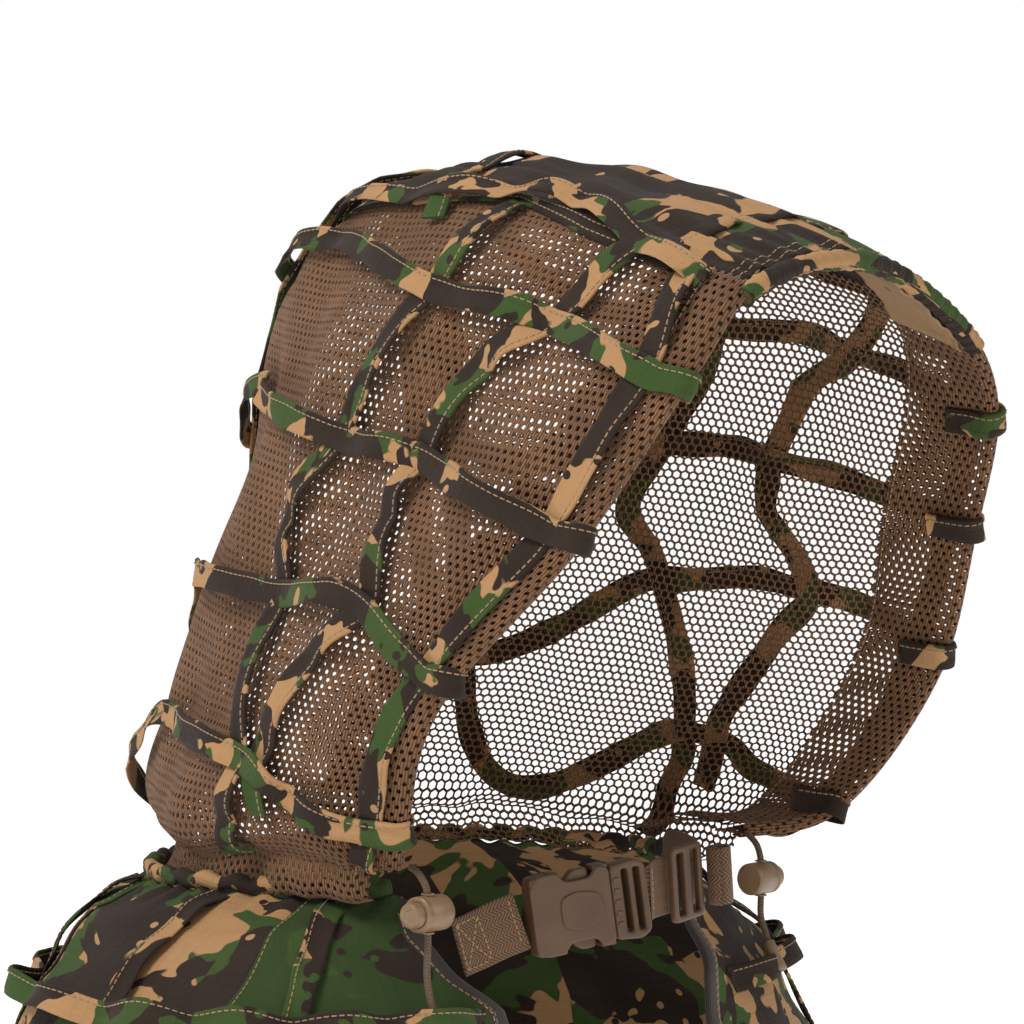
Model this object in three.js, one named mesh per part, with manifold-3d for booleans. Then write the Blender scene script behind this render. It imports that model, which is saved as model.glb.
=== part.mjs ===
// Ghillie hood and shoulder cape: knitted-net hood with a stiffened brim, camouflage cape,
// garnish tapes to tie foliage to, a neck strap with a side-release buckle, and two drawcords.
// Millimetres, +Z up. The wearer faces -Y, and +X is the wearer's left.
import * as THREE from "three";
import Module from "manifold-3d";

const wasm = await Module();
wasm.setup();

// ---------------------------------------------------------------- driving dimensions
const CLEARANCE = 0.3; // running gap between pieces that touch
const NET = 1.2; // thickness of the knitted net
const CLOTH = 1.2; // thickness of the rip-stop cloth
const TAPE = 1.1; // thickness of a folded garnish tape
const TAPE_WIDTH = 12;
const PLY_GAP = 3.2; // inner face of each hem ply from the net's own surface
const LAYER = 2.6; // rise from one layer of tape to the next
const HEM_DEPTH = 14; // from the hem's fold to the cut edge of the net
const HEM_FACING = 34; // hem lap inside the net
const BRIM_DEPTH = 42; // brim, front to back
const CORD = 3; // elastic drawcord
const CORD_GAP = 0.3;
const WIRE = 2.4; // brim wire
const CASING_WALL = 1.4;
const WEBBING = 25; // neck strap webbing width
const WEBBING_THICK = 1.8;
const BUCKLE_WIDTH = 35;
const BUCKLE_LENGTH = 37;
const BUCKLE_THICK = 10;
const LOCK_BODY = 17; // cord lock barrel length
const LOCK_RADIUS = 7.5;
const CAPE_DROP = 230; // collar to lower hem

// Height-wise rows of the hood from the collar (0) to the middle of the crown (6).
// right and left: where the row meets the face edge; back: y and z on the back seam;
// full: half widths of the row by the cheek and by the nape; lift: how far it domes there.
const HOOD_ROWS = [
  { right: [-116, -60, 17], left: [116, -56, 16], back: [138, 17], full: [140, 96], lift: [0, 0] },
  { right: [-126, -72, 36], left: [150, -98, 28], back: [158, 46], full: [158, 104], lift: [0, 0] },
  { right: [-136, -98, 88], left: [156, -148, 90], back: [134, 122], full: [144, 98], lift: [0, 0] },
  { right: [-122, -160, 154], left: [138, -180, 158], back: [112, 204], full: [130, 92], lift: [0, 0] },
  { right: [-104, -204, 222], left: [114, -206, 212], back: [92, 262], full: [116, 88], lift: [6, 10] },
  { right: [-74, -214, 258], left: [76, -212, 246], back: [62, 296], full: [84, 52], lift: [37, 24] },
  { right: [0, -216, 270], left: [0, -216, 270], back: [46, 302], full: [0, 0], lift: [48, 30] },
];
const CROWN_ROW = HOOD_ROWS.length - 1;
const LAST_ROW = 2 * CROWN_ROW;
const CROWN_EDGE = 5; // row where the net meets the crown panel
const BRIM_EDGE = 5; // row where the face hem meets the brim

// Level rings of the cape: height at its own middle, half width, half depth, middle, slope.
const CAPE_RINGS = [
  { z: 3, wide: 126, deep: 104, mid: 36, slope: 0 },
  { z: -10, wide: 158, deep: 114, mid: 36, slope: 0.03 },
  { z: -38, wide: 196, deep: 122, mid: 32, slope: 0.04 },
  { z: -84, wide: 226, deep: 130, mid: 28, slope: 0.02 },
  { z: -140, wide: 240, deep: 136, mid: 26, slope: 0 },
  { z: -CAPE_DROP, wide: 248, deep: 142, mid: 24, slope: 0 },
];
const CAPE_SQUARENESS = 2.3; // exponent of the ring's outline
// Angle from the front at which each front edge lies, ring by ring.
const RIGHT_OPENING = [44, 36, 20, 13, 9, 7];
const LEFT_OPENING = [30, 21, 14, 11, 9, 7];

const COLOURS = {
  net: 0x7b5f4d,
  camouflage: 0x3d6a38,
  underside: 0xb08a5c,
  binding: 0x3a302c,
  webbing: 0x84654f,
  buckle: 0x6f5a49,
  cord: 0x8c7355,
  lock: 0xa98b66,
  steel: 0xb9bcc0,
};

const ghillieHood = new THREE.Group();

// ---------------------------------------------------------------- making closed meshes
const vec = (x, y, z) => new THREE.Vector3(x, y, z);

function addPiece(name, geometry, colour, parent = ghillieHood, metalness = 0) {
  const roughness = metalness ? 0.35 : 0.85;
  const material = new THREE.MeshStandardMaterial({ color: COLOURS[colour], roughness, metalness });
  const mesh = new THREE.Mesh(geometry, material);
  mesh.name = name;
  parent.add(mesh);
  return mesh;
}

function closedGeometry(points, faces) {
  const position = new Float32Array(points.flatMap((p) => [p.x, p.y, p.z]));
  let volume = 0;
  for (const [a, b, c] of faces) {
    volume += points[a].dot(vec().crossVectors(points[b], points[c]));
  }
  const outward = volume > 0 ? faces : faces.map(([a, b, c]) => [a, c, b]);
  const geometry = new THREE.BufferGeometry();
  geometry.setAttribute("position", new THREE.BufferAttribute(position, 3));
  geometry.setIndex(outward.flat());
  geometry.computeVertexNormals();
  return geometry;
}

// Triangles that fill a ring of points, which may be hollow-sided, in its own mean plane.
function fillRing(ring) {
  const normal = vec(0, 0, 0);
  ring.forEach((p, k) => normal.add(vec().crossVectors(p, ring[(k + 1) % ring.length])));
  const sideways = ring[1].clone().sub(ring[0]).normalize();
  const upright = vec().crossVectors(normal, sideways).normalize();
  const flat = ring.map((p) => new THREE.Vector2(p.dot(sideways), p.dot(upright)));
  return THREE.ShapeUtils.triangulateShape(flat, []);
}

// Joins rings of points, each ring closed on itself, and closes both ends.
function loftRings(rings) {
  const sides = rings[0].length;
  const faces = [];
  for (let i = 0; i + 1 < rings.length; i++) {
    for (let k = 0; k < sides; k++) {
      const a = i * sides + k;
      const b = i * sides + ((k + 1) % sides);
      faces.push([a, b, b + sides], [a, b + sides, a + sides]);
    }
  }
  const last = (rings.length - 1) * sides;
  for (const [a, b, c] of fillRing(rings[0])) faces.push([a, c, b]);
  for (const [a, b, c] of fillRing(rings.at(-1))) faces.push([last + a, last + b, last + c]);
  return closedGeometry(rings.flat(), faces);
}

// A sheet of cloth: surface(a, b, offset) over the unit square, from one offset to another.
function sheetGeometry(surface, across, along, low, high) {
  const points = [];
  for (const offset of [low, high]) {
    for (let j = 0; j <= along; j++) {
      for (let i = 0; i <= across; i++) points.push(surface(i / across, j / along, offset));
    }
  }
  const row = across + 1;
  const layer = row * (along + 1);
  const faces = [];
  for (let j = 0; j < along; j++) {
    for (let i = 0; i < across; i++) {
      const a = j * row + i;
      faces.push([a, a + row, a + row + 1], [a, a + row + 1, a + 1]);
      const top = a + layer;
      faces.push([top, top + row + 1, top + row], [top, top + 1, top + row + 1]);
    }
  }
  const rim = [];
  for (let i = 0; i < across; i++) rim.push(i);
  for (let j = 0; j < along; j++) rim.push(j * row + across);
  for (let i = across; i > 0; i--) rim.push(along * row + i);
  for (let j = along; j > 0; j--) rim.push(j * row);
  rim.forEach((a, k) => {
    const b = rim[(k + 1) % rim.length];
    faces.push([a, b, b + layer], [a, b + layer, a + layer]);
  });
  return closedGeometry(points, faces);
}

// A flat strip along a list of stations, each a point, a face normal and a heading.
function stripGeometry(stations, width, thick) {
  const rings = stations.map(({ at, normal, heading }) => {
    const side = vec().crossVectors(heading, normal).normalize();
    return [
      [-1, -1],
      [1, -1],
      [1, 1],
      [-1, 1],
    ].map(([s, n]) =>
      at.clone().addScaledVector(side, (s * width) / 2).addScaledVector(normal, (n * thick) / 2),
    );
  });
  return loftRings(rings);
}

function tubeGeometry(points, radius, sides, steps) {
  const curve = new THREE.CatmullRomCurve3(points, false, "centripetal");
  const section = new THREE.Shape();
  for (let k = 0; k < sides; k++) {
    const turn = (2 * Math.PI * k) / sides;
    const x = radius * Math.cos(turn);
    const y = radius * Math.sin(turn);
    if (k) section.lineTo(x, y);
    else section.moveTo(x, y);
  }
  section.closePath();
  return new THREE.ExtrudeGeometry(section, { steps, bevelEnabled: false, extrudePath: curve });
}

// ---------------------------------------------------------------- the hood's surface
const HOOD_COLUMNS = [0, 1, 2, 3].map((column) => {
  const points = [];
  for (let row = 0; row <= LAST_ROW; row++) {
    const left = row > CROWN_ROW;
    const section = HOOD_ROWS[left ? LAST_ROW - row : row];
    const [x, y, z] = left ? section.left : section.right;
    const [backY, backZ] = section.back;
    const out = left ? 1 : -1;
    const cheek = vec(out * section.full[0], y + 0.38 * (backY - y), z + 0.38 * (backZ - z) + section.lift[0]);
    const nape = vec(out * section.full[1], backY, z + 0.94 * (backZ - z) + section.lift[1]);
    points.push([vec(x, y, z), cheek, nape, vec(0, backY, backZ)][column]);
  }
  return points;
});

function alongColumn(points, row) {
  const i = Math.max(0, Math.min(points.length - 2, Math.floor(row)));
  const t = row - i;
  const p1 = points[i];
  const p2 = points[i + 1];
  const p0 = points[i - 1] ?? p1.clone().multiplyScalar(2).sub(p2);
  const p3 = points[i + 2] ?? p2.clone().multiplyScalar(2).sub(p1);
  const weights = [-t + 2 * t * t - t ** 3, 2 - 5 * t * t + 3 * t ** 3, t + 4 * t * t - 3 * t ** 3, t ** 3 - t * t];
  return [p0, p1, p2, p3].reduce((sum, p, k) => sum.addScaledVector(p, weights[k] / 2), vec(0, 0, 0));
}

// row: 0 at the right collar, 6 mid crown, 12 left collar. depth: 0 face edge, 1 back seam.
function hoodPoint(row, depth) {
  const [face, cheek, nape, back] = HOOD_COLUMNS.map((column) => alongColumn(column, row));
  const s = 1 - depth;
  return face
    .multiplyScalar(s ** 3)
    .addScaledVector(cheek, 3 * s * s * depth)
    .addScaledVector(nape, 3 * s * depth * depth)
    .addScaledVector(back, depth ** 3);
}

const STEP = 0.01;
function hoodNormal(row, depth) {
  const d = Math.min(Math.max(depth, STEP), 0.985);
  const r = Math.min(Math.max(row, STEP), LAST_ROW - STEP);
  const inward = hoodPoint(r, d + STEP).sub(hoodPoint(r, d - STEP));
  const upward = hoodPoint(r + STEP, d).sub(hoodPoint(r - STEP, d));
  return vec().crossVectors(upward, inward).normalize();
}

function onHood(row, depth, offset) {
  return hoodPoint(row, depth).addScaledVector(hoodNormal(row, depth), offset);
}

// Frame beside the face edge, this far in from it: the point, the way into the hood, outward.
function faceEdge(row, inset) {
  const depth = depthAt(row, inset);
  const at = hoodPoint(row, depth);
  const inward = hoodPoint(row, depth + STEP).sub(at).normalize();
  return { at, inward, normal: hoodNormal(row, depth) };
}

function rowsBetween(from, to, steps) {
  return Array.from({ length: steps + 1 }, (_, i) => from + ((to - from) * i) / steps);
}

// Depth at which a row lies this far in from its face edge, measured along the surface.
function depthAt(row, distance) {
  const reach = hoodPoint(row, 0.05).distanceTo(hoodPoint(row, 0)) / 0.05;
  return distance / reach;
}

// ---------------------------------------------------------------- hood nets and crown
const NET_FOOT = 0.04; // row at which the nets start, just over the collar
const NET_BACK = 0.992; // depth at which each net stops, beside the back seam
const CROWN_BACK = 0.94; // depth at which the crown panel ends
for (const side of ["right", "left"]) {
  const mirror = (row) => (side === "right" ? row : LAST_ROW - row);
  const net = (a, b, offset) => {
    const row = mirror(NET_FOOT + (CROWN_EDGE - NET_FOOT) * b);
    const front = depthAt(row, HEM_DEPTH + 1);
    return onHood(row, front + (NET_BACK - front) * a, offset);
  };
  addPiece(`hood_net_${side}`, sheetGeometry(net, 12, 12, 0, NET), "net");
}

const brimBack = (row) => depthAt(row, BRIM_DEPTH);
const crownFrom = CROWN_EDGE + 0.03;
const crownTo = LAST_ROW - crownFrom;
const crown = (a, b, offset) => {
  const row = crownFrom + (crownTo - crownFrom) * b;
  const front = brimBack(row) + 0.008;
  return onHood(row, front + (CROWN_BACK - front) * a, offset);
};
addPiece("crown_panel", sheetGeometry(crown, 12, 8, 0, CLOTH), "camouflage");

// ---------------------------------------------------------------- brim
const BRIM_BORE = WIRE / 2 + CORD_GAP;
const CASING_RADIUS = BRIM_BORE + CASING_WALL;
const brimRows = rowsBetween(BRIM_EDGE + 0.08, LAST_ROW - BRIM_EDGE - 0.08, 12);
const brimSheet = (a, b, offset) => {
  const row = brimRows[0] + (brimRows.at(-1) - brimRows[0]) * b;
  const front = depthAt(row, CASING_RADIUS + CLEARANCE);
  return onHood(row, front + (brimBack(row) - front) * a, offset);
};
addPiece("brim_top", sheetGeometry(brimSheet, 3, 12, 0, CLOTH), "camouflage");
addPiece("brim_underside", sheetGeometry(brimSheet, 3, 12, -CASING_RADIUS, -CASING_RADIUS + CLOTH), "underside");

// The casing is a split tube along the front edge, open towards the brim, with the wire in it.
function edgeTube(rows, angles, inner, outer, inset) {
  return loftRings(
    rows.map((row) => {
      const { at, inward, normal } = faceEdge(row, inset);
      const spoke = (angle, radius) =>
        at
          .clone()
          .addScaledVector(inward, radius * Math.cos(angle))
          .addScaledVector(normal, radius * Math.sin(angle));
      if (!inner) return angles.slice(0, -1).map((angle) => spoke(angle, outer));
      return [...angles.map((angle) => spoke(angle, outer)), ...angles.map((angle) => spoke(angle, inner)).reverse()];
    }),
  );
}

function arc(from, to, steps) {
  return rowsBetween((from * Math.PI) / 180, (to * Math.PI) / 180, steps);
}
const casing = edgeTube(brimRows, arc(30, 330, 8), BRIM_BORE, CASING_RADIUS, 0);
addPiece("brim_casing", casing, "camouflage");
const wireRows = brimRows.slice(1, -1);
addPiece("brim_wire", edgeTube(wireRows, arc(0, 360, 8), 0, WIRE / 2, 0), "steel", ghillieHood, 1);

// ---------------------------------------------------------------- face hems and their cords
// A folded net band round the face edge, with the elastic drawcord in its fold.
const NOSE = PLY_GAP + NET; // radius of the fold
const HEM_LAP = 8; // outer ply, past the cut edge of the net it covers
function hemSection(row) {
  const { at, inward, normal } = faceEdge(row, NOSE);
  const place = (along, out) => at.clone().addScaledVector(inward, along).addScaledVector(normal, out);
  const lapped = (along, out) => onHood(row, depthAt(row, HEM_DEPTH + along), out);
  const round = arc(90, 270, 4);
  const fold = (radius) =>
    round.map((turn) => place(radius * Math.cos(turn), radius * Math.sin(turn)));
  return [
    lapped(HEM_LAP, NOSE),
    ...fold(NOSE),
    ...[HEM_FACING / 3, (2 * HEM_FACING) / 3, HEM_FACING].map((along) => lapped(along, -NOSE)),
    ...[HEM_FACING, (2 * HEM_FACING) / 3, HEM_FACING / 3].map((along) => lapped(along, -PLY_GAP)),
    ...fold(PLY_GAP).reverse(),
    lapped(HEM_LAP, PLY_GAP),
  ];
}
const hemRows = rowsBetween(0.3, BRIM_EDGE, 18);
for (const side of ["right", "left"]) {
  const mirror = (row) => (side === "right" ? row : LAST_ROW - row);
  const hem = loftRings(hemRows.map((row) => hemSection(mirror(row))));
  addPiece(`face_hem_${side}`, hem, "net");
  const cordRows = hemRows.slice(1).map(mirror);
  const hidden = edgeTube(cordRows, arc(0, 360, 8), 0, CORD / 2, NOSE + CORD_GAP);
  addPiece(`hem_cord_${side}`, hidden, "cord");
}

// ---------------------------------------------------------------- garnish tapes on the hood
const RIB_RISE = NOSE + TAPE / 2 + 4 * CLEARANCE;
const RING_RISE = RIB_RISE + LAYER;

// Stations of a tape that runs through waypoints [row, depth] at a height over the net.
function tapeStations(waypoints, rise, steps) {
  const flat = new THREE.CatmullRomCurve3(waypoints.map(([row, depth]) => vec(row, depth * 10, 0)), false, "centripetal");
  const places = rowsBetween(0, 1, steps).map((t) => flat.getPoint(t));
  const centres = places.map((p) => onHood(p.x, p.y / 10, rise));
  return centres.map((at, i) => ({
    at,
    normal: hoodNormal(places[i].x, places[i].y / 10),
    heading: centres[Math.min(i + 1, steps)].clone().sub(centres[Math.max(i - 1, 0)]).normalize(),
  }));
}

// The end of a ring tape, taken round the hem's fold and a little way back inside.
function hemWrap(row, rise) {
  const { at, inward, normal } = faceEdge(row, NOSE);
  const stations = [];
  for (const turn of arc(90, 270, 6)) {
    const outward = inward.clone().multiplyScalar(Math.cos(turn)).addScaledVector(normal, Math.sin(turn));
    const heading = inward.clone().multiplyScalar(-Math.sin(turn)).addScaledVector(normal, Math.cos(turn));
    const centre = at.clone().addScaledVector(outward, rise);
    stations.push({ at: centre, normal: outward, heading });
  }
  const inside = onHood(row, depthAt(row, HEM_DEPTH + HEM_LAP), -rise);
  stations.push({ at: inside, normal: normal.clone().negate(), heading: inward.clone() });
  return stations;
}

function reversed(stations) {
  return stations.map((s) => ({ ...s, heading: s.heading.clone().negate() })).reverse();
}

const RIBS = {
  edge_tape: [[0.5, 0.062], [1, 0.055], [2, 0.055], [3, 0.05], [4, 0.055], [4.7, 0.08]],
  front_rib_tape: [[0.95, 0.27], [1.55, 0.28], [2.1, 0.24], [2.5, 0.21], [2.9, 0.28], [3.3, 0.29], [3.8, 0.27], [4.3, 0.2], [4.85, 0.14]],
  rear_rib_tape: [[0.4, 0.3], [0.95, 0.31], [1.7, 0.33], [2.4, 0.4], [2.75, 0.46], [3.3, 0.42], [4.15, 0.38], [4.8, 0.35]],
};
for (const [name, waypoints] of Object.entries(RIBS)) {
  const right = tapeStations(waypoints, RIB_RISE, 16);
  const left = tapeStations(waypoints.map(([row, depth]) => [LAST_ROW - row, depth]), RIB_RISE, 16);
  addPiece(`${name}_right`, stripGeometry(right, TAPE_WIDTH, TAPE), "camouflage");
  addPiece(`${name}_left`, stripGeometry(left, TAPE_WIDTH, TAPE), "camouflage");
}

// Each ring tape runs from one face hem round the back of the hood to the other.
// rows: at the face hem, at the front rib, at the rear rib, by the nape, and on the back seam.
const WRAP_SLACK = 1.8; // a ring tape stands this much further off where it rounds the hem
const RINGS = [
  { rows: [1, 1.2, 1.43, 1.5, 1.4] },
  { rows: [2.15, 2.4, 2.33, 2.27, 2.2] },
  { rows: [3.03, 3.2, 3.26, 3.4, 3.3] },
  { rows: [3.9, 4.15, 4.2, 4.5, 4.35] },
];
RINGS.forEach(({ rows }, i) => {
  const depths = [0.05, 0.2, 0.4, 0.7, 0.99];
  const half = depths.map((depth, k) => [rows[k], depth]);
  const right = tapeStations(half, RING_RISE, 13);
  const left = tapeStations(half.map(([row, depth]) => [LAST_ROW - row, depth]), RING_RISE, 13);
  const stations = [
    ...reversed(hemWrap(rows[0], RING_RISE + WRAP_SLACK)),
    ...right,
    ...reversed(left).slice(1),
    ...hemWrap(LAST_ROW - rows[0], RING_RISE + WRAP_SLACK),
  ];
  addPiece(`ring_tape_${i + 1}`, stripGeometry(stations, TAPE_WIDTH, TAPE), "camouflage");
});

// Two tapes along the edges of the crown panel, and one across it.
const CROWN_TAPE_ROW = 5.25;
for (const side of ["right", "left"]) {
  const mirror = (row) => (side === "right" ? row : LAST_ROW - row);
  const path = [0.03, 0.3, 0.6, 0.86].map((depth) => [mirror(CROWN_TAPE_ROW), depth]);
  addPiece(`crown_tape_${side}`, stripGeometry(tapeStations(path, RIB_RISE, 16), TAPE_WIDTH, TAPE), "camouflage");
}
const across = rowsBetween(CROWN_EDGE - 0.1, LAST_ROW - CROWN_EDGE + 0.1, 4).map((row) => [row, 0.5]);
addPiece("crown_cross_tape", stripGeometry(tapeStations(across, RING_RISE, 14), TAPE_WIDTH, TAPE), "camouflage");

const seamPath = [0.25, 1.5, 3, 4.3].map((row) => [row, 0.998]);
addPiece("back_seam_tape", stripGeometry(tapeStations(seamPath, NET + TAPE + CLEARANCE, 12), TAPE_WIDTH - 2, TAPE), "net");

// ---------------------------------------------------------------- the cape's surface
// drop: 0 at the neckline to 1 at the lower hem. angle: degrees from the front, right side positive.
function betweenRings(drop, pick) {
  const place = Math.min(Math.max(drop, 0), 1) * (CAPE_RINGS.length - 1);
  const i = Math.min(Math.floor(place), CAPE_RINGS.length - 2);
  return THREE.MathUtils.lerp(pick(i), pick(i + 1), place - i);
}

function capePoint(angle, drop) {
  const ring = (key) => betweenRings(drop, (i) => CAPE_RINGS[i][key]);
  const turn = THREE.MathUtils.degToRad(angle);
  const power = 2 / CAPE_SQUARENESS;
  const across = Math.sign(Math.sin(turn)) * Math.abs(Math.sin(turn)) ** power;
  const back = -Math.sign(Math.cos(turn)) * Math.abs(Math.cos(turn)) ** power;
  const y = ring("mid") + ring("deep") * back;
  return vec(-ring("wide") * across, y, ring("z") + ring("slope") * (y - ring("mid")));
}

function capeNormal(angle, drop) {
  const d = Math.min(Math.max(drop, STEP), 1 - STEP);
  const round = capePoint(angle + 1, d).sub(capePoint(angle - 1, d));
  const down = capePoint(angle, d + STEP).sub(capePoint(angle, d - STEP));
  return vec().crossVectors(round, down).normalize();
}

function onCape(angle, drop, offset) {
  return capePoint(angle, drop).addScaledVector(capeNormal(angle, drop), offset);
}

const openingAt = (side, drop) =>
  side > 0 ? betweenRings(drop, (i) => RIGHT_OPENING[i]) : -betweenRings(drop, (i) => LEFT_OPENING[i]);

// ---------------------------------------------------------------- cape panels
const FRONT_SEAM = 66; // angles of the seams
const BACK_SEAM = 122;
const SEAM_GAP = 0.25; // degrees between neighbouring panels
const EDGE_INSET = 1.8; // degrees from the front edge to the cut edge of its panel
const HEM_TURN = 0.985; // panels stop here, inside the hem binding

for (const [side, sign] of [["right", 1], ["left", -1]]) {
  const front = (a, b, offset) => {
    const drop = b * HEM_TURN;
    const edge = openingAt(sign, drop) + sign * EDGE_INSET;
    return onCape(edge + (sign * (FRONT_SEAM - SEAM_GAP) - edge) * a, drop, offset);
  };
  addPiece(`front_panel_${side}`, sheetGeometry(front, 6, 10, 0, CLOTH), "camouflage");
  const shoulder = (a, b, offset) =>
    onCape(sign * (FRONT_SEAM + SEAM_GAP + (BACK_SEAM - FRONT_SEAM - 2 * SEAM_GAP) * a), b * HEM_TURN, offset);
  addPiece(`shoulder_panel_${side}`, sheetGeometry(shoulder, 6, 10, 0, CLOTH), "camouflage");
}
const back = (a, b, offset) => {
  const from = BACK_SEAM + SEAM_GAP;
  return onCape(from + (360 - 2 * from) * a, b * HEM_TURN, offset);
};
addPiece("back_panel", sheetGeometry(back, 12, 10, 0, CLOTH), "camouflage");

// ---------------------------------------------------------------- bindings, piping, lower hem
const BINDING = 7; // half width of an edge binding
const BINDING_GAP = 1.7; // between each ply of a front binding and the cape
const HEM_BINDING_GAP = 1.8; // the same at the lower hem, where the cape bends more
function bindingSection(at, into, normal, half, gap) {
  const place = (along, out) => at.clone().addScaledVector(into, along).addScaledVector(normal, out);
  const inner = CLOTH / 2 + gap;
  const outer = inner + CLOTH / 2;
  return [
    place(half, CLOTH / 2 + outer),
    place(-outer, CLOTH / 2 + outer),
    place(-outer, CLOTH / 2 - outer),
    place(half, CLOTH / 2 - outer),
    place(half, CLOTH / 2 - inner),
    place(-inner, CLOTH / 2 - inner),
    place(-inner, CLOTH / 2 + inner),
    place(half, CLOTH / 2 + inner),
  ];
}
for (const [side, sign] of [["right", 1], ["left", -1]]) {
  const rings = rowsBetween(0.03, 0.945, 16).map((drop) => {
    const edge = openingAt(sign, drop) + sign * 0.5;
    const at = capePoint(edge, drop);
    const into = capePoint(edge + sign, drop).sub(at).normalize();
    return bindingSection(at, into, capeNormal(edge, drop), BINDING, BINDING_GAP);
  });
  addPiece(`front_binding_${side}`, loftRings(rings), "binding");
}
const hemAngles = rowsBetween(openingAt(1, 1) + 1, 360 - 1 + openingAt(-1, 1), 36);
const hemRings = hemAngles.map((angle) => {
  const at = onCape(angle, HEM_TURN, 0);
  const into = onCape(angle, HEM_TURN - 0.02, 0).sub(at).normalize();
  return bindingSection(at, into, capeNormal(angle, HEM_TURN), BINDING, HEM_BINDING_GAP);
});
addPiece("lower_hem", loftRings(hemRings), "binding");

const PIPING = 3; // piping radius, between the hood and the cape
const pipingAngles = rowsBetween(openingAt(1, 0) + 4, 360 - 4 + openingAt(-1, 0), 26);
const piping = pipingAngles.map((angle) => onCape(angle, 0, 0).add(vec(0, 0, PIPING + 2)));
addPiece("neckline_piping", tubeGeometry(piping, PIPING, 6, 36), "camouflage");

// ---------------------------------------------------------------- garnish tapes on the cape
function capeStations(places, rise) {
  const centres = places.map(([angle, drop]) => onCape(angle, drop, rise));
  return centres.map((at, i) => ({
    at,
    normal: capeNormal(...places[i]),
    heading: centres[Math.min(i + 1, centres.length - 1)].clone().sub(centres[Math.max(i - 1, 0)]).normalize(),
  }));
}
const CAPE_RISE = CLOTH + LAYER;
const DROP_TAPES = { front: [60, 46], shoulder: [88, 92], rear: [124, 140] };
for (const [side, sign] of [["right", 1], ["left", -1]]) {
  for (const [name, [top, bottom]] of Object.entries(DROP_TAPES)) {
    const places = rowsBetween(0.03, 0.93, 12).map((drop) => [sign * (top + (bottom - top) * drop), drop]);
    addPiece(`${name}_drop_tape_${side}`, stripGeometry(capeStations(places, CAPE_RISE), TAPE_WIDTH, TAPE), "camouflage");
  }
}
[0.42, 0.74].forEach((drop, i) => {
  const from = openingAt(1, drop) + 6;
  const to = 360 + openingAt(-1, drop) - 6;
  const places = rowsBetween(from, to, 34).map((angle) => [angle, drop]);
  addPiece(`cape_ring_tape_${i + 1}`, stripGeometry(capeStations(places, CAPE_RISE + LAYER), TAPE_WIDTH, TAPE), "camouflage");
});

// ---------------------------------------------------------------- neck strap and buckle
// The buckle's own frame: +X along the strap to the wearer's left, -Y away from the chest.
const buckle = new THREE.Group();
buckle.position.set(-68, -89, -4);
buckle.rotation.set(0, THREE.MathUtils.degToRad(-8), THREE.MathUtils.degToRad(-28), "ZYX");
ghillieHood.add(buckle);
buckle.updateMatrixWorld(true);

function solid(geometry) {
  const flat = geometry.index ? geometry.toNonIndexed() : geometry;
  const source = flat.getAttribute("position").array;
  const seen = new Map();
  const vertices = [];
  const triangles = [];
  for (let i = 0; i < source.length; i += 3) {
    const key = [source[i], source[i + 1], source[i + 2]].map((value) => Math.round(value * 1e4)).join();
    if (!seen.has(key)) {
      seen.set(key, vertices.length / 3);
      vertices.push(source[i], source[i + 1], source[i + 2]);
    }
    triangles.push(seen.get(key));
  }
  const mesh = new wasm.Mesh({
    numProp: 3,
    vertProperties: new Float32Array(vertices),
    triVerts: new Uint32Array(triangles),
  });
  return new wasm.Manifold(mesh);
}

function fromSolid(manifold) {
  const { vertProperties, triVerts } = manifold.getMesh();
  const geometry = new THREE.BufferGeometry();
  geometry.setAttribute("position", new THREE.BufferAttribute(vertProperties.slice(), 3));
  geometry.setIndex(Array.from(triVerts));
  geometry.computeVertexNormals();
  return geometry;
}

function block(length, depth, width, x, y, z) {
  return new THREE.BoxGeometry(length, depth, width).translate(x, y, z);
}

// A plate cut from an outline in X and Z, with its thickness along Y about zero.
function plate(outline, thick) {
  const shape = new THREE.Shape(outline.map(([x, z]) => new THREE.Vector2(x, z)));
  const geometry = new THREE.ExtrudeGeometry(shape, { depth: thick, bevelEnabled: false });
  return geometry.rotateX(Math.PI / 2).translate(0, thick / 2, 0);
}

const half = BUCKLE_WIDTH / 2;
const SLOT = WEBBING + 2; // webbing slots
const WALL = 2.2; // buckle walls
const mouth = BUCKLE_LENGTH; // x of the female's open end
const inner = BUCKLE_THICK / 2 - WALL;

const femaleOutline = [
  [0, -half + 3],
  [3, -half],
  [mouth - 9, -half],
  [mouth, -half + 2],
  [mouth, half - 2],
  [mouth - 9, half],
  [3, half],
  [0, half - 3],
];
let female = solid(plate(femaleOutline, BUCKLE_THICK));
const pocketStart = 11;
female = female.subtract(
  solid(block(mouth, 2 * inner, BUCKLE_WIDTH - 2 * WALL, pocketStart + mouth / 2, 0, 0)),
);
const WINDOW = [15, 29]; // latch windows, along X
const windowMiddle = (WINDOW[0] + WINDOW[1]) / 2;
female = female.subtract(
  solid(block(WINDOW[1] - WINDOW[0], 2 * inner, BUCKLE_WIDTH + 2, windowMiddle, 0, 0)),
);
for (const x of [3.5, 8]) {
  female = female.subtract(solid(block(2.6, BUCKLE_THICK + 2, SLOT, x, 0, 0)));
}
addPiece("buckle_female", fromSolid(female), "buckle", buckle);

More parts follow.
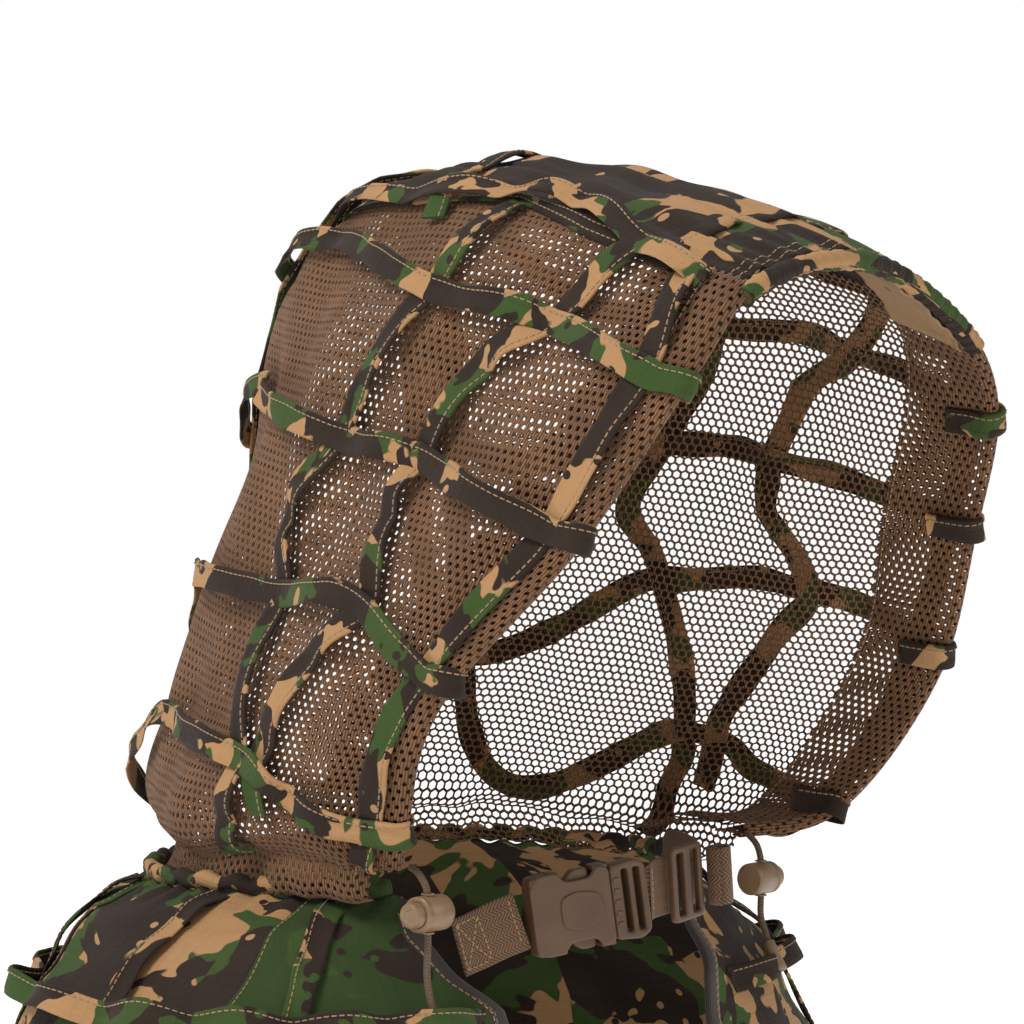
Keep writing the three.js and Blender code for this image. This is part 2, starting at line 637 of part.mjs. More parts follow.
// Male half: a base with a webbing bar and a guide prong, and two latch arms beside it.
const maleThick = 2 * (inner - CLEARANCE);
const PRONG = 7;
const baseFrom = mouth + CLEARANCE;
const baseTo = baseFrom + 17;
const maleOutline = [
  [pocketStart + 3, -PRONG / 2],
  [baseFrom, -PRONG / 2],
  [baseFrom, -half],
  [baseTo - 3, -half],
  [baseTo, -half + 3],
  [baseTo, half - 3],
  [baseTo - 3, half],
  [baseFrom, half],
  [baseFrom, PRONG / 2],
  [pocketStart + 3, PRONG / 2],
];
let male = solid(plate(maleOutline, maleThick));
male = male.add(solid(block(baseTo - baseFrom - 1, BUCKLE_THICK - 1, BUCKLE_WIDTH - 2, (baseFrom + baseTo) / 2 + 0.5, 0, 0)));
for (const x of [baseFrom + 7, baseFrom + 12.5]) {
  male = male.subtract(solid(block(2.8, BUCKLE_THICK + 2, SLOT, x, 0, 0)));
}
const HINGE_SLOT = 2.4; // depth of the recess that holds an arm's root
const ARM_INSET = 6; // middle of an arm's root from the side of the buckle
for (const sign of [1, -1]) {
  male = male.subtract(solid(block(2 * HINGE_SLOT, BUCKLE_THICK, 4.4, baseFrom, 0, sign * (half - ARM_INSET))));
}
addPiece("buckle_male", fromSolid(male), "buckle", buckle);

const armRoot = baseFrom + HINGE_SLOT - CLEARANCE;
const ARM = 3; // width of an arm at its root
const armInner = half - ARM_INSET - ARM / 2;
const armOuter = half - ARM_INSET + ARM / 2;
const armOutline = [
  [armRoot, armInner],
  [armRoot, armOuter],
  [WINDOW[1] - 0.6, armOuter],
  [WINDOW[1] - 1.4, half - 0.4],
  [WINDOW[0] + 6, half - 0.4],
  [WINDOW[0] + 1, armOuter - 1],
  [WINDOW[0] + 1, armInner],
  [WINDOW[0] + 4, armInner - 1.5],
  [WINDOW[1], armInner],
];
for (const [name, sign] of [["upper", 1], ["lower", -1]]) {
  const outline = armOutline.map(([x, z]) => [x, sign * z]);
  addPiece(`latch_arm_${name}`, plate(outline, maleThick), "buckle", buckle);
}

// Tri-glide that takes up the surplus of the strap.
const GLIDE_LENGTH = 22;
const GLIDE_THICK = 3.6;
const triGlide = new THREE.Group();
triGlide.position.set(6, -116, 7);
triGlide.rotation.set(0, THREE.MathUtils.degToRad(-6), THREE.MathUtils.degToRad(2), "ZYX");
ghillieHood.add(triGlide);
let glide = solid(block(GLIDE_LENGTH, GLIDE_THICK, BUCKLE_WIDTH - 2, 0, 0, 0));
for (const shift of [-5.2, 5.2]) {
  glide = glide.subtract(solid(block(5.6, GLIDE_THICK + 2, SLOT, shift, 0, 0)));
}
addPiece("tri_glide", fromSolid(glide), "buckle", triGlide);

// Webbing runs as strips through chosen points, standing on edge with a face to the front.
function webbingGeometry(places, width, thick) {
  const route = new THREE.CatmullRomCurve3(places.map(([x, y, z]) => vec(x, y, z)), false, "centripetal");
  const steps = 6 * (places.length - 1);
  const stations = rowsBetween(0, 1, steps).map((t) => {
    const at = route.getPoint(t);
    const heading = route.getTangent(t);
    const normal = vec(0, 0, 1).cross(heading).normalize().negate();
    return { at, heading, normal };
  });
  return stripGeometry(stations, width, thick);
}

const TAB_LOW = -27.5; // lower edge of the tab where it is sewn down, whatever its width
const tabRoute = [
  [-97, -75, TAB_LOW + WEBBING / 2],
  [-88, -78, TAB_LOW + 3 + WEBBING / 2],
  [-79, -82.5, -8],
  [-71.4, -87.6, -4.8],
];
addPiece("neck_tab_right", webbingGeometry(tabRoute, WEBBING, WEBBING_THICK), "webbing");
const strapBehind = GLIDE_THICK / 2 + WEBBING_THICK / 2 + CLEARANCE + 1.2;
const glidePlace = triGlide.position;
const slackRoute = [
  [-18.6, -114.6, 3.6],
  [-12, glidePlace.y + strapBehind, 5],
  [glidePlace.x, glidePlace.y + strapBehind, glidePlace.z],
  [24, glidePlace.y + strapBehind + 4, 9],
  [42, -89, 11],
  [58, -67, 12],
];
addPiece("neck_strap_left", webbingGeometry(slackRoute, WEBBING, WEBBING_THICK), "webbing");

// Surplus webbing rolled up in front of the tri-glide, as a spiral strip.
const ROLL_TURNS = 2.6;
const ROLL_PITCH = WEBBING_THICK + 0.5;
const rollAt = vec(GLIDE_LENGTH / 2 + 8, -5.4, 0);
const rollStations = rowsBetween(0.35, 1, 44).map((t) => {
  const turn = 2 * Math.PI * ROLL_TURNS * t;
  const radius = ROLL_PITCH * ROLL_TURNS * t;
  const outward = vec(Math.cos(turn), Math.sin(turn), 0);
  const heading = vec(-Math.sin(turn), Math.cos(turn), 0);
  return { at: rollAt.clone().addScaledVector(outward, radius), normal: outward, heading };
});
addPiece("neck_strap_roll", stripGeometry(rollStations, WEBBING, WEBBING_THICK), "webbing", triGlide);

// ---------------------------------------------------------------- drawcords and cord locks
// The free stretch of each drawcord hangs from the lower end of its hem, through a cord lock
// whose barrel lies across it, and ends in a moulded cord end.
const CORD_ROUTES = {
  right: [
    [-117, -66, 20],
    [-119, -72, 18],
    [-120, -77.5, 12],
    [-120, -78, 2],
    [-120, -78, -12],
    [-120, -78, -28],
    [-119, -84, -46],
    [-116, -92, -64],
    [-114, -98, -82],
    [-112, -103, -102],
  ],
  left: [
    [117, -68, 17],
    [114, -76, 12],
    [113, -79, 5],
    [113, -79, -3],
    [113, -79, -12],
    [113, -79, -21],
    [112, -84, -32],
  ],
};
const LOCK_POINT = 3; // the lock sits at this point of the route
const LOCK_FOOT = -10; // closed end of the barrel from the cord, along the lock
const LOCK_WALL = 1.8;
const BUTTON_TRAVEL = 4;
const BUTTON_STANDS = 5; // button past the barrel's mouth
const BUTTON_WALL = 1.2; // button's closed end, between the cord and the spring
const SPRING_WIRE = 0.6;
const SPRING_TURNS = 3;
const END_LENGTH = 15;

const lockBore = CORD / 2 + CORD_GAP;
const lockMouth = LOCK_FOOT + LOCK_BODY;
const buttonRadius = LOCK_RADIUS - LOCK_WALL - CLEARANCE;
const buttonFrom = -lockBore - BUTTON_WALL;

function turnedAlongX(profile) {
  const points = profile.map(([radius, x]) => new THREE.Vector2(radius, x));
  return new THREE.LatheGeometry(points, 16).rotateZ(-Math.PI / 2);
}

for (const [side, route] of Object.entries(CORD_ROUTES)) {
  const points = route.map(([x, y, z]) => vec(x, y, z));
  addPiece(`drawcord_${side}`, tubeGeometry(points, CORD / 2, 8, 3 * (points.length - 1)), "cord");

  const lock = new THREE.Group();
  lock.position.copy(points[LOCK_POINT]);
  lock.rotation.z = side === "right" ? Math.PI : 0;
  ghillieHood.add(lock);

  const barrelShell = solid(
    turnedAlongX([
      [0, LOCK_FOOT],
      [LOCK_RADIUS - 1, LOCK_FOOT],
      [LOCK_RADIUS, LOCK_FOOT + 1],
      [LOCK_RADIUS, lockMouth],
      [LOCK_RADIUS - LOCK_WALL, lockMouth],
      [LOCK_RADIUS - LOCK_WALL, LOCK_FOOT + LOCK_WALL],
      [0, LOCK_FOOT + LOCK_WALL],
    ]),
  );
  const bore = new THREE.CylinderGeometry(lockBore, lockBore, 3 * LOCK_RADIUS, 12).rotateX(Math.PI / 2);
  addPiece(`cord_lock_barrel_${side}`, fromSolid(barrelShell.subtract(solid(bore))), "lock", lock);

  const buttonShell = solid(
    turnedAlongX([
      [0, buttonFrom],
      [buttonRadius, buttonFrom],
      [buttonRadius, lockMouth + BUTTON_STANDS - 1],
      [buttonRadius - 1, lockMouth + BUTTON_STANDS],
      [0, lockMouth + BUTTON_STANDS],
    ]),
  );
  // The slot lets the button travel past the cord without touching it.
  const slot = block(2 * lockBore + BUTTON_TRAVEL, 2 * lockBore, 3 * LOCK_RADIUS, BUTTON_TRAVEL / 2, 0, 0);
  addPiece(`cord_lock_button_${side}`, fromSolid(buttonShell.subtract(solid(slot))), "lock", lock);

  const springFrom = LOCK_FOOT + LOCK_WALL + SPRING_WIRE / 2 + CLEARANCE;
  const springTo = buttonFrom - SPRING_WIRE / 2 - CLEARANCE;
  const springRadius = buttonRadius - 2 * SPRING_WIRE;
  const coil = rowsBetween(0, 1, 8 * SPRING_TURNS).map((t) => {
    const turn = 2 * Math.PI * SPRING_TURNS * t;
    const x = springFrom + (springTo - springFrom) * t;
    return vec(x, springRadius * Math.cos(turn), springRadius * Math.sin(turn));
  });
  addPiece(`cord_lock_spring_${side}`, tubeGeometry(coil, SPRING_WIRE / 2, 4, 8 * SPRING_TURNS), "steel", lock, 1);

  // Moulded end, a narrow cone with its small face against the cord's cut end.
  const tip = points.at(-1);
  const way = tip.clone().sub(points.at(-2)).normalize();
  const end = turnedAlongX([
    [0, CLEARANCE],
    [2.6, CLEARANCE],
    [4.4, END_LENGTH - 1],
    [3.4, END_LENGTH],
    [0, END_LENGTH],
  ]);
  const cordEnd = addPiece(`cord_end_${side}`, end, "lock");
  cordEnd.quaternion.setFromUnitVectors(vec(1, 0, 0), way);
  cordEnd.position.copy(tip);
}

export default ghillieHood;
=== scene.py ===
import math
import bpy
import numpy as np
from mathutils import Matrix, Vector


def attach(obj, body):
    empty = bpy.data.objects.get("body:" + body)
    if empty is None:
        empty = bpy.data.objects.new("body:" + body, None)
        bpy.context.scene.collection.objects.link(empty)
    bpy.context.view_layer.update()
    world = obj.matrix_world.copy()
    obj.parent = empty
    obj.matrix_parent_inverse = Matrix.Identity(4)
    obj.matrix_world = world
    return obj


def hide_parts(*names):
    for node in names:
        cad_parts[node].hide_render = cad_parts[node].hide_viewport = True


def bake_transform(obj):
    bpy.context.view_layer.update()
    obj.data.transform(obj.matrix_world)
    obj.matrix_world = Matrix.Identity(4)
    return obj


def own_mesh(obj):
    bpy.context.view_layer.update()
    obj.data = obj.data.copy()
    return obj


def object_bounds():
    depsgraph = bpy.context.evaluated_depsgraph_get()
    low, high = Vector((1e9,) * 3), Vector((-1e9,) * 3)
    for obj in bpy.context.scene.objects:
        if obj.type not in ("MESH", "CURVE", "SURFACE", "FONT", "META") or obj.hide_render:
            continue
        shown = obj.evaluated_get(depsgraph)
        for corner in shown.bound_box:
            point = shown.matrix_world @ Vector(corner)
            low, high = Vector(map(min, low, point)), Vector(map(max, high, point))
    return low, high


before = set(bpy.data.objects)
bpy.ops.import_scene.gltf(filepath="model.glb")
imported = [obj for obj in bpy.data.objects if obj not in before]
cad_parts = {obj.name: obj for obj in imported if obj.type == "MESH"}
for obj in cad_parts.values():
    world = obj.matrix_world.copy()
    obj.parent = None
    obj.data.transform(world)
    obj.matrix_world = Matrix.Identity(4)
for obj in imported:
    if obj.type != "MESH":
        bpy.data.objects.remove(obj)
cad_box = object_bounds()
MM = 0.001

# ---------------------------------------------------------------- camera, floor and light
# The garment is shown worn, at head height: a long lens, level, from its front right.
# A pale seamless floor and large soft lights, as in a product studio.
VIEW_AZIMUTH = math.radians(-50)
VIEW_DISTANCE = 1.5
toward_camera = Vector((math.sin(VIEW_AZIMUTH), -math.cos(VIEW_AZIMUTH), 0))
picture_right = Vector((-toward_camera.y, toward_camera.x, 0))
aim = picture_right * 0.0173 + Vector((0, 0, 0.1673))

camera_data = bpy.data.cameras.new("studio_camera")
camera_data.lens = 116
camera_data.sensor_width = 36
camera = bpy.data.objects.new("studio_camera", camera_data)
camera.location = aim + toward_camera * VIEW_DISTANCE
camera.rotation_euler = (-toward_camera).to_track_quat("-Z", "Y").to_euler()
bpy.context.scene.collection.objects.link(camera)
bpy.context.scene.camera = camera
bpy.context.scene.view_settings.view_transform = "Standard"


def linear(hex_colour):
    channels = [int(hex_colour[i : i + 2], 16) / 255 for i in (1, 3, 5)]
    return [c / 12.92 if c <= 0.04045 else ((c + 0.055) / 1.055) ** 2.4 for c in channels] + [1.0]


def add_node(tree, kind, inputs=(), **settings):
    node = tree.nodes.new(kind)
    for key, value in settings.items():
        setattr(node, key, value)
    for socket, value in dict(inputs).items():
        if isinstance(value, bpy.types.NodeSocket):
            tree.links.new(value, node.inputs[socket])
        else:
            node.inputs[socket].default_value = value
    return node


def new_material(name, roughness, **sockets):
    material = bpy.data.materials.new(name)
    material.use_nodes = True
    shader = material.node_tree.nodes["Principled BSDF"]
    shader.inputs["Roughness"].default_value = roughness
    for socket, value in sockets.items():
        shader.inputs[socket.replace("_", " ")].default_value = value
    return material, material.node_tree, shader


# Painted studio floor: pale, matt, and the same tone as the light behind it.
floor_paint, _, floor_shader = new_material("pale_floor_paint", 0.9)
floor_shader.inputs["Base Color"].default_value = linear("#f6f6f6")
floor_shader.inputs["Emission Color"].default_value = linear("#ffffff")
floor_shader.inputs["Emission Strength"].default_value = 0.62
floor_mesh = bpy.data.meshes.new("studio_floor")
FLOOR_HALF = 4.0
floor_z = cad_box[0][2] - 4 * MM
corners = [(x * FLOOR_HALF, y * FLOOR_HALF, floor_z) for x, y in ((-1, -1), (1, -1), (1, 1), (-1, 1))]
floor_mesh.from_pydata(corners, [], [(0, 1, 2, 3)])
floor_mesh.materials.append(floor_paint)
floor = bpy.data.objects.new("studio_floor", floor_mesh)
bpy.context.scene.collection.objects.link(floor)

world = bpy.data.worlds.new("studio_light")
world.use_nodes = True
ambient = world.node_tree.nodes["Background"]
ambient.inputs["Color"].default_value = (1, 1, 1, 1)
ambient.inputs["Strength"].default_value = 0.42
# The backdrop itself is lit to white, well above the light that falls on the garment.
backdrop = add_node(world.node_tree, "ShaderNodeBackground", {"Color": (1, 1, 1, 1), "Strength": 1.0})
seen = add_node(world.node_tree, "ShaderNodeLightPath")
lights = {0: seen.outputs["Is Camera Ray"], 1: ambient.outputs[0], 2: backdrop.outputs[0]}
both = add_node(world.node_tree, "ShaderNodeMixShader", lights)
world.node_tree.links.new(both.outputs[0], world.node_tree.nodes["World Output"].inputs["Surface"])
bpy.context.scene.world = world


def soft_light(name, azimuth, height, distance, size, power):
    data = bpy.data.lights.new(name, "AREA")
    data.size = size
    data.energy = power
    lamp = bpy.data.objects.new(name, data)
    turn = math.radians(azimuth)
    lamp.location = (distance * math.sin(turn), -distance * math.cos(turn), height)
    lamp.rotation_euler = (Vector((0, 0, 0.1)) - lamp.location).to_track_quat("-Z", "Y").to_euler()
    bpy.context.scene.collection.objects.link(lamp)


soft_light("key_softbox", -95, 1.5, 1.4, 0.8, 27)
soft_light("fill_softbox", 10, 0.9, 1.7, 1.2, 6)
soft_light("top_softbox", 160, 1.9, 0.8, 1.0, 7)

# ---------------------------------------------------------------- drawcords
# Elastic shock cord, 3 mm, tan braided sheath over rubber. Each leaves the lower end of its
# face hem, passes a cord lock and ends in a moulded cord end.
CORD = 3 * MM
CORD_ROUTES = {
    "right": [
        (-117, -66, 20), (-119, -72, 18), (-120, -77.5, 12), (-120, -78, 2), (-120, -78, -12),
        (-120, -78, -28), (-119, -84, -46), (-116, -92, -64), (-114, -98, -82), (-112, -103, -102),
    ],
    "left": [
        (117, -68, 17), (114, -76, 12), (113, -79, 5), (113, -79, -3), (113, -79, -12),
        (113, -79, -21), (112, -84, -32),
    ],
}


def smooth_route(points, per_span):
    """Points along a centripetal curve through the chosen ones."""
    p = [Vector(q) * MM for q in points]
    p = [2 * p[0] - p[1], *p, 2 * p[-1] - p[-2]]
    route = []
    for i in range(1, len(p) - 2):
        knots = [0.0]
        for k in range(3):
            knots.append(knots[-1] + (p[i + k] - p[i + k - 1]).length ** 0.5)
        for step in range(per_span):
            t = knots[1] + (knots[2] - knots[1]) * step / per_span
            a = [p[i + k - 1].lerp(p[i + k], (t - knots[k]) / (knots[k + 1] - knots[k])) for k in range(3)]
            b = [a[k].lerp(a[k + 1], (t - knots[k]) / (knots[k + 2] - knots[k])) for k in range(2)]
            route.append(b[0].lerp(b[1], (t - knots[1]) / (knots[2] - knots[1])))
    route.append(p[-2])
    return np.array(route)


def finish_surface(tree, shader, tone, dark, light, relief, strength, depth):
    """Colour from dark to light by the tone, and a relief of this depth by the height."""
    tint = add_node(tree, "ShaderNodeValToRGB", {"Fac": tone})
    tint.color_ramp.elements[0].color = linear(dark)
    tint.color_ramp.elements[1].color = linear(light)
    bump = add_node(tree, "ShaderNodeBump", {"Height": relief, "Strength": strength, "Distance": depth})
    tree.links.new(tint.outputs["Color"], shader.inputs["Base Color"])
    tree.links.new(bump.outputs["Normal"], shader.inputs["Normal"])
    return tint.color_ramp


def carry(piece, body, node):
    """Rides the piece on its body, in place of its frame node."""
    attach(piece, body)
    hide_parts(node)


def braided_cord(name, route, roundness):
    data = bpy.data.curves.new(name, "CURVE")
    data.dimensions = "3D"
    data.bevel_depth = CORD / 2
    data.bevel_resolution = roundness
    spline = data.splines.new("POLY")
    spline.points.add(len(route) - 1)
    spline.points.foreach_set("co", np.c_[route, np.ones(len(route))].ravel())
    data.materials.append(braid)
    data.use_fill_caps = True
    piece = bpy.data.objects.new(name, data)
    bpy.context.scene.collection.objects.link(piece)
    return piece


braid, tree, shader = new_material("braided_elastic_sheath", 0.8, Sheen_Weight=0.08)
place = add_node(tree, "ShaderNodeTexCoord")
# Braid crossings about 1.2 mm apart, drawn as two crossed sets of ridges.
strands = {"Vector": place.outputs["Object"], "Scale": 1 / (2.2 * MM), "Distortion": 1.0}
ridges = [
    add_node(tree, "ShaderNodeTexWave", strands, bands_direction=way).outputs["Fac"]
    for way in ("Z", "DIAGONAL")
]
crossed = add_node(tree, "ShaderNodeMath", dict(enumerate(ridges)), operation="MULTIPLY").outputs[0]
finish_surface(tree, shader, crossed, "#4d3c2c", "#84694b", crossed, 0.6, 0.4 * MM)

cord_lines = {}
for side, points in CORD_ROUTES.items():
    route = smooth_route(points, 3)
    piece = braided_cord(f"drawcord_{side}_braid", route, 3)
    carry(piece, "garment", f"drawcord_{side}")
    length = float(np.linalg.norm(np.diff(route, axis=0), axis=1).sum())
    cord_lines[side] = route

# ---------------------------------------------------------------- the hood's shape
# Rows from the collar to the middle of the crown: where the row meets the face edge on each
# side, the back seam's y and z, its half widths by the cheek and nape, and how far it domes.
HOOD_ROWS = [
    ((-116, -60, 17), (116, -56, 16), (138, 17), (140, 96), (0, 0)),
    ((-126, -72, 36), (150, -98, 28), (158, 46), (158, 104), (0, 0)),
    ((-136, -98, 88), (156, -148, 90), (134, 122), (144, 98), (0, 0)),
    ((-122, -160, 154), (138, -180, 158), (112, 204), (130, 92), (0, 0)),
    ((-104, -204, 222), (114, -206, 212), (92, 262), (116, 88), (6, 10)),
    ((-74, -214, 258), (76, -212, 246), (62, 296), (84, 52), (37, 24)),
    ((0, -216, 270), (0, -216, 270), (46, 302), (0, 0), (48, 30)),
]
CROWN_ROW = len(HOOD_ROWS) - 1
LAST_ROW = 2 * CROWN_ROW
CROWN_EDGE = 5


def hood_columns():
    columns = [[], [], [], []]
    for row in range(LAST_ROW + 1):
        is_left = row > CROWN_ROW
        right, left, (back_y, back_z), full, lift = HOOD_ROWS[LAST_ROW - row if is_left else row]
        x, y, z = left if is_left else right
        out = 1 if is_left else -1
        cheek = (out * full[0], y + 0.38 * (back_y - y), z + 0.38 * (back_z - z) + lift[0])
        nape = (out * full[1], back_y, z + 0.94 * (back_z - z) + lift[1])
        for column, point in zip(columns, ((x, y, z), cheek, nape, (0, back_y, back_z))):
            column.append(point)
    return [np.array(column) * MM for column in columns]


COLUMNS = hood_columns()


def along_column(points, row):
    i = np.clip(np.floor(row).astype(int), 0, LAST_ROW - 1)
    t = (row - i)[..., None]
    padded = np.concatenate([2 * points[:1] - points[1:2], points, 2 * points[-1:] - points[-2:-1]])
    p0, p1, p2, p3 = (padded[i + k] for k in range(4))
    return 0.5 * (
        (-t + 2 * t**2 - t**3) * p0
        + (2 - 5 * t**2 + 3 * t**3) * p1
        + (t + 4 * t**2 - 3 * t**3) * p2
        + (t**3 - t**2) * p3
    )


def bare_hood(row, depth):
    face, cheek, nape, back = (along_column(column, row) for column in COLUMNS)
    d = depth[..., None]
    s = 1 - d
    return s**3 * face + 3 * s * s * d * cheek + 3 * s * d * d * nape + d**3 * back


def depth_at(row, distance):
    """Depth at which a row lies this far in from its face edge."""
    row = np.asarray(row, float)
    reach = np.linalg.norm(bare_hood(row, row * 0 + 0.05) - bare_hood(row, row * 0), axis=-1) / 0.05
    return distance / reach


def unit(v):
    return v / np.maximum(np.linalg.norm(v, axis=-1, keepdims=True), 1e-12)


def hood_normal(row, depth):
    step = 0.01
    d = np.clip(depth, step, 0.985)
    r = np.clip(row, step, LAST_ROW - step)
    inward = bare_hood(r, d + step) - bare_hood(r, d - step)
    upward = bare_hood(r + step, d) - bare_hood(r - step, d)
    return unit(np.cross(upward, inward))


def fade(value, start, end):
    t = np.clip((value - start) / (end - start), 0, 1)
    return t * t * (3 - 2 * t)


def hood_folds(row, depth):
    """How far the limp net stands in or out of its mean shape: soft folds that run down and
    back, gathers where it is sewn to the collar, and the roll of slack above them."""
    r = np.where(row > CROWN_ROW, LAST_ROW - row, row)
    inside_edges = fade(depth, 0.02, 0.12) * (1 - fade(r, 4.3, 5.0))
    phase = np.where(row > CROWN_ROW, 0.37, 0.0)
    broad = 3.6 * np.sin(2 * np.pi * (2.4 * depth + 0.30 * r + phase))
    narrow = (
        1.7 * np.sin(2 * np.pi * (6.2 * depth - 0.55 * r + 2 * phase))
        * (0.4 + 0.6 * np.sin(3 * r + 5 * depth) ** 2)
    )
    gathers = (
        1.3 * np.sin(2 * np.pi * (11 * depth + 0.4 * np.sin(9 * depth)))
        * np.exp(-((r / 0.5) ** 2)) * fade(r, -0.1, 0.15)
    )
    roll = 5 * np.exp(-(((r - 0.7) / 0.45) ** 2)) * fade(depth, 0.02, 0.2)
    return (inside_edges * (broad + narrow) + gathers * fade(depth, 0.01, 0.06) + roll) * MM


def on_hood(row, depth, offset=0.0):
    row = np.asarray(row, float)
    depth = np.asarray(depth, float)
    rise = hood_folds(row, depth) + offset
    return bare_hood(row, depth) + hood_normal(row, depth) * rise[..., None]


# ---------------------------------------------------------------- knitted net of the hood
# Warp-knitted polyester net, coyote brown: staggered six-sided holes about 2.4 mm wide in
# soft matt yarn. Cut as one panel a side and sewn at the crown, the back seam and the collar.
NET_PITCH = 4.1 * MM
NET_HOLE = 1.24 * MM  # hole, centre to corner
NET_HOLE_OPEN = 1.82 * MM  # where the net hangs stretched
NET_HOLE_DOUBLED = 1.15 * MM  # where two layers lie over each other
NET_THICK = 0.7 * MM

knit, tree, shader = new_material("knitted_polyester_net", 0.9, Sheen_Weight=0.1, Specular_IOR_Level=0.25)
place = add_node(tree, "ShaderNodeUVMap")
# Stitch columns of the knit, drawn 1.4 mm apart, across the slower unevenness of dyed yarn.
loops = {"Vector": place.outputs["UV"], "Scale": 1 / (4.4 * MM), "Distortion": 2.5, "Detail": 2.0}
columns = add_node(tree, "ShaderNodeTexWave", loops, bands_direction="X")
slow = add_node(tree, "ShaderNodeTexNoise", {"Vector": place.outputs["UV"], "Scale": 40.0, "Detail": 3.0})
mixed = add_node(
    tree, "ShaderNodeMath", {0: columns.outputs["Fac"], 1: slow.outputs["Fac"]}, operation="MULTIPLY"
)
ramp = finish_surface(
    tree, shader, mixed.outputs[0], "#4e3320", "#8f6745", columns.outputs["Fac"], 0.7, 0.3 * MM
)
ramp.elements[1].position = 0.7


def add_mesh(name, points, faces, uv=None, materials=(), face_materials=None):
    """A mesh object from points in metres; uv holds one pair in metres for each point."""
    mesh = bpy.data.meshes.new(name)
    faces = np.asarray(faces)
    size = faces.shape[1]
    mesh.vertices.add(len(points))
    mesh.vertices.foreach_set("co", np.ascontiguousarray(points, np.float32).ravel())
    mesh.loops.add(faces.size)
    mesh.loops.foreach_set("vertex_index", faces.ravel().astype(np.int32))
    mesh.polygons.add(len(faces))
    mesh.polygons.foreach_set("loop_start", np.arange(0, faces.size, size, dtype=np.int32))
    for material in materials:
        mesh.materials.append(material)
    if face_materials is not None:
        mesh.polygons.foreach_set("material_index", np.asarray(face_materials, np.int32))
    mesh.update(calc_edges=True)
    mesh.validate()
    mesh.polygons.foreach_set("use_smooth", np.full(len(mesh.polygons), True))
    if uv is not None:
        layer = mesh.uv_layers.new(name="UVMap")
        layer.data.foreach_set("uv", np.asarray(uv, np.float32)[faces.ravel()].ravel())
    piece = bpy.data.objects.new(name, mesh)
    bpy.context.scene.collection.objects.link(piece)
    return piece


def travelled(points):
    """Length of the way along a line of points, up to each of them."""
    return np.concatenate([[0], np.cumsum(np.linalg.norm(np.diff(points, axis=0), axis=1))])


def travelled_across(grid):
    """The same along every row of a grid of points."""
    steps = np.linalg.norm(np.diff(grid, axis=1), axis=2)
    return np.concatenate([np.zeros((len(grid), 1)), np.cumsum(steps, axis=1)], axis=1)


GRID_ACROSS, GRID_UP, GRID_SPOTS = 160, 120, 240  # how finely a net's surface is measured


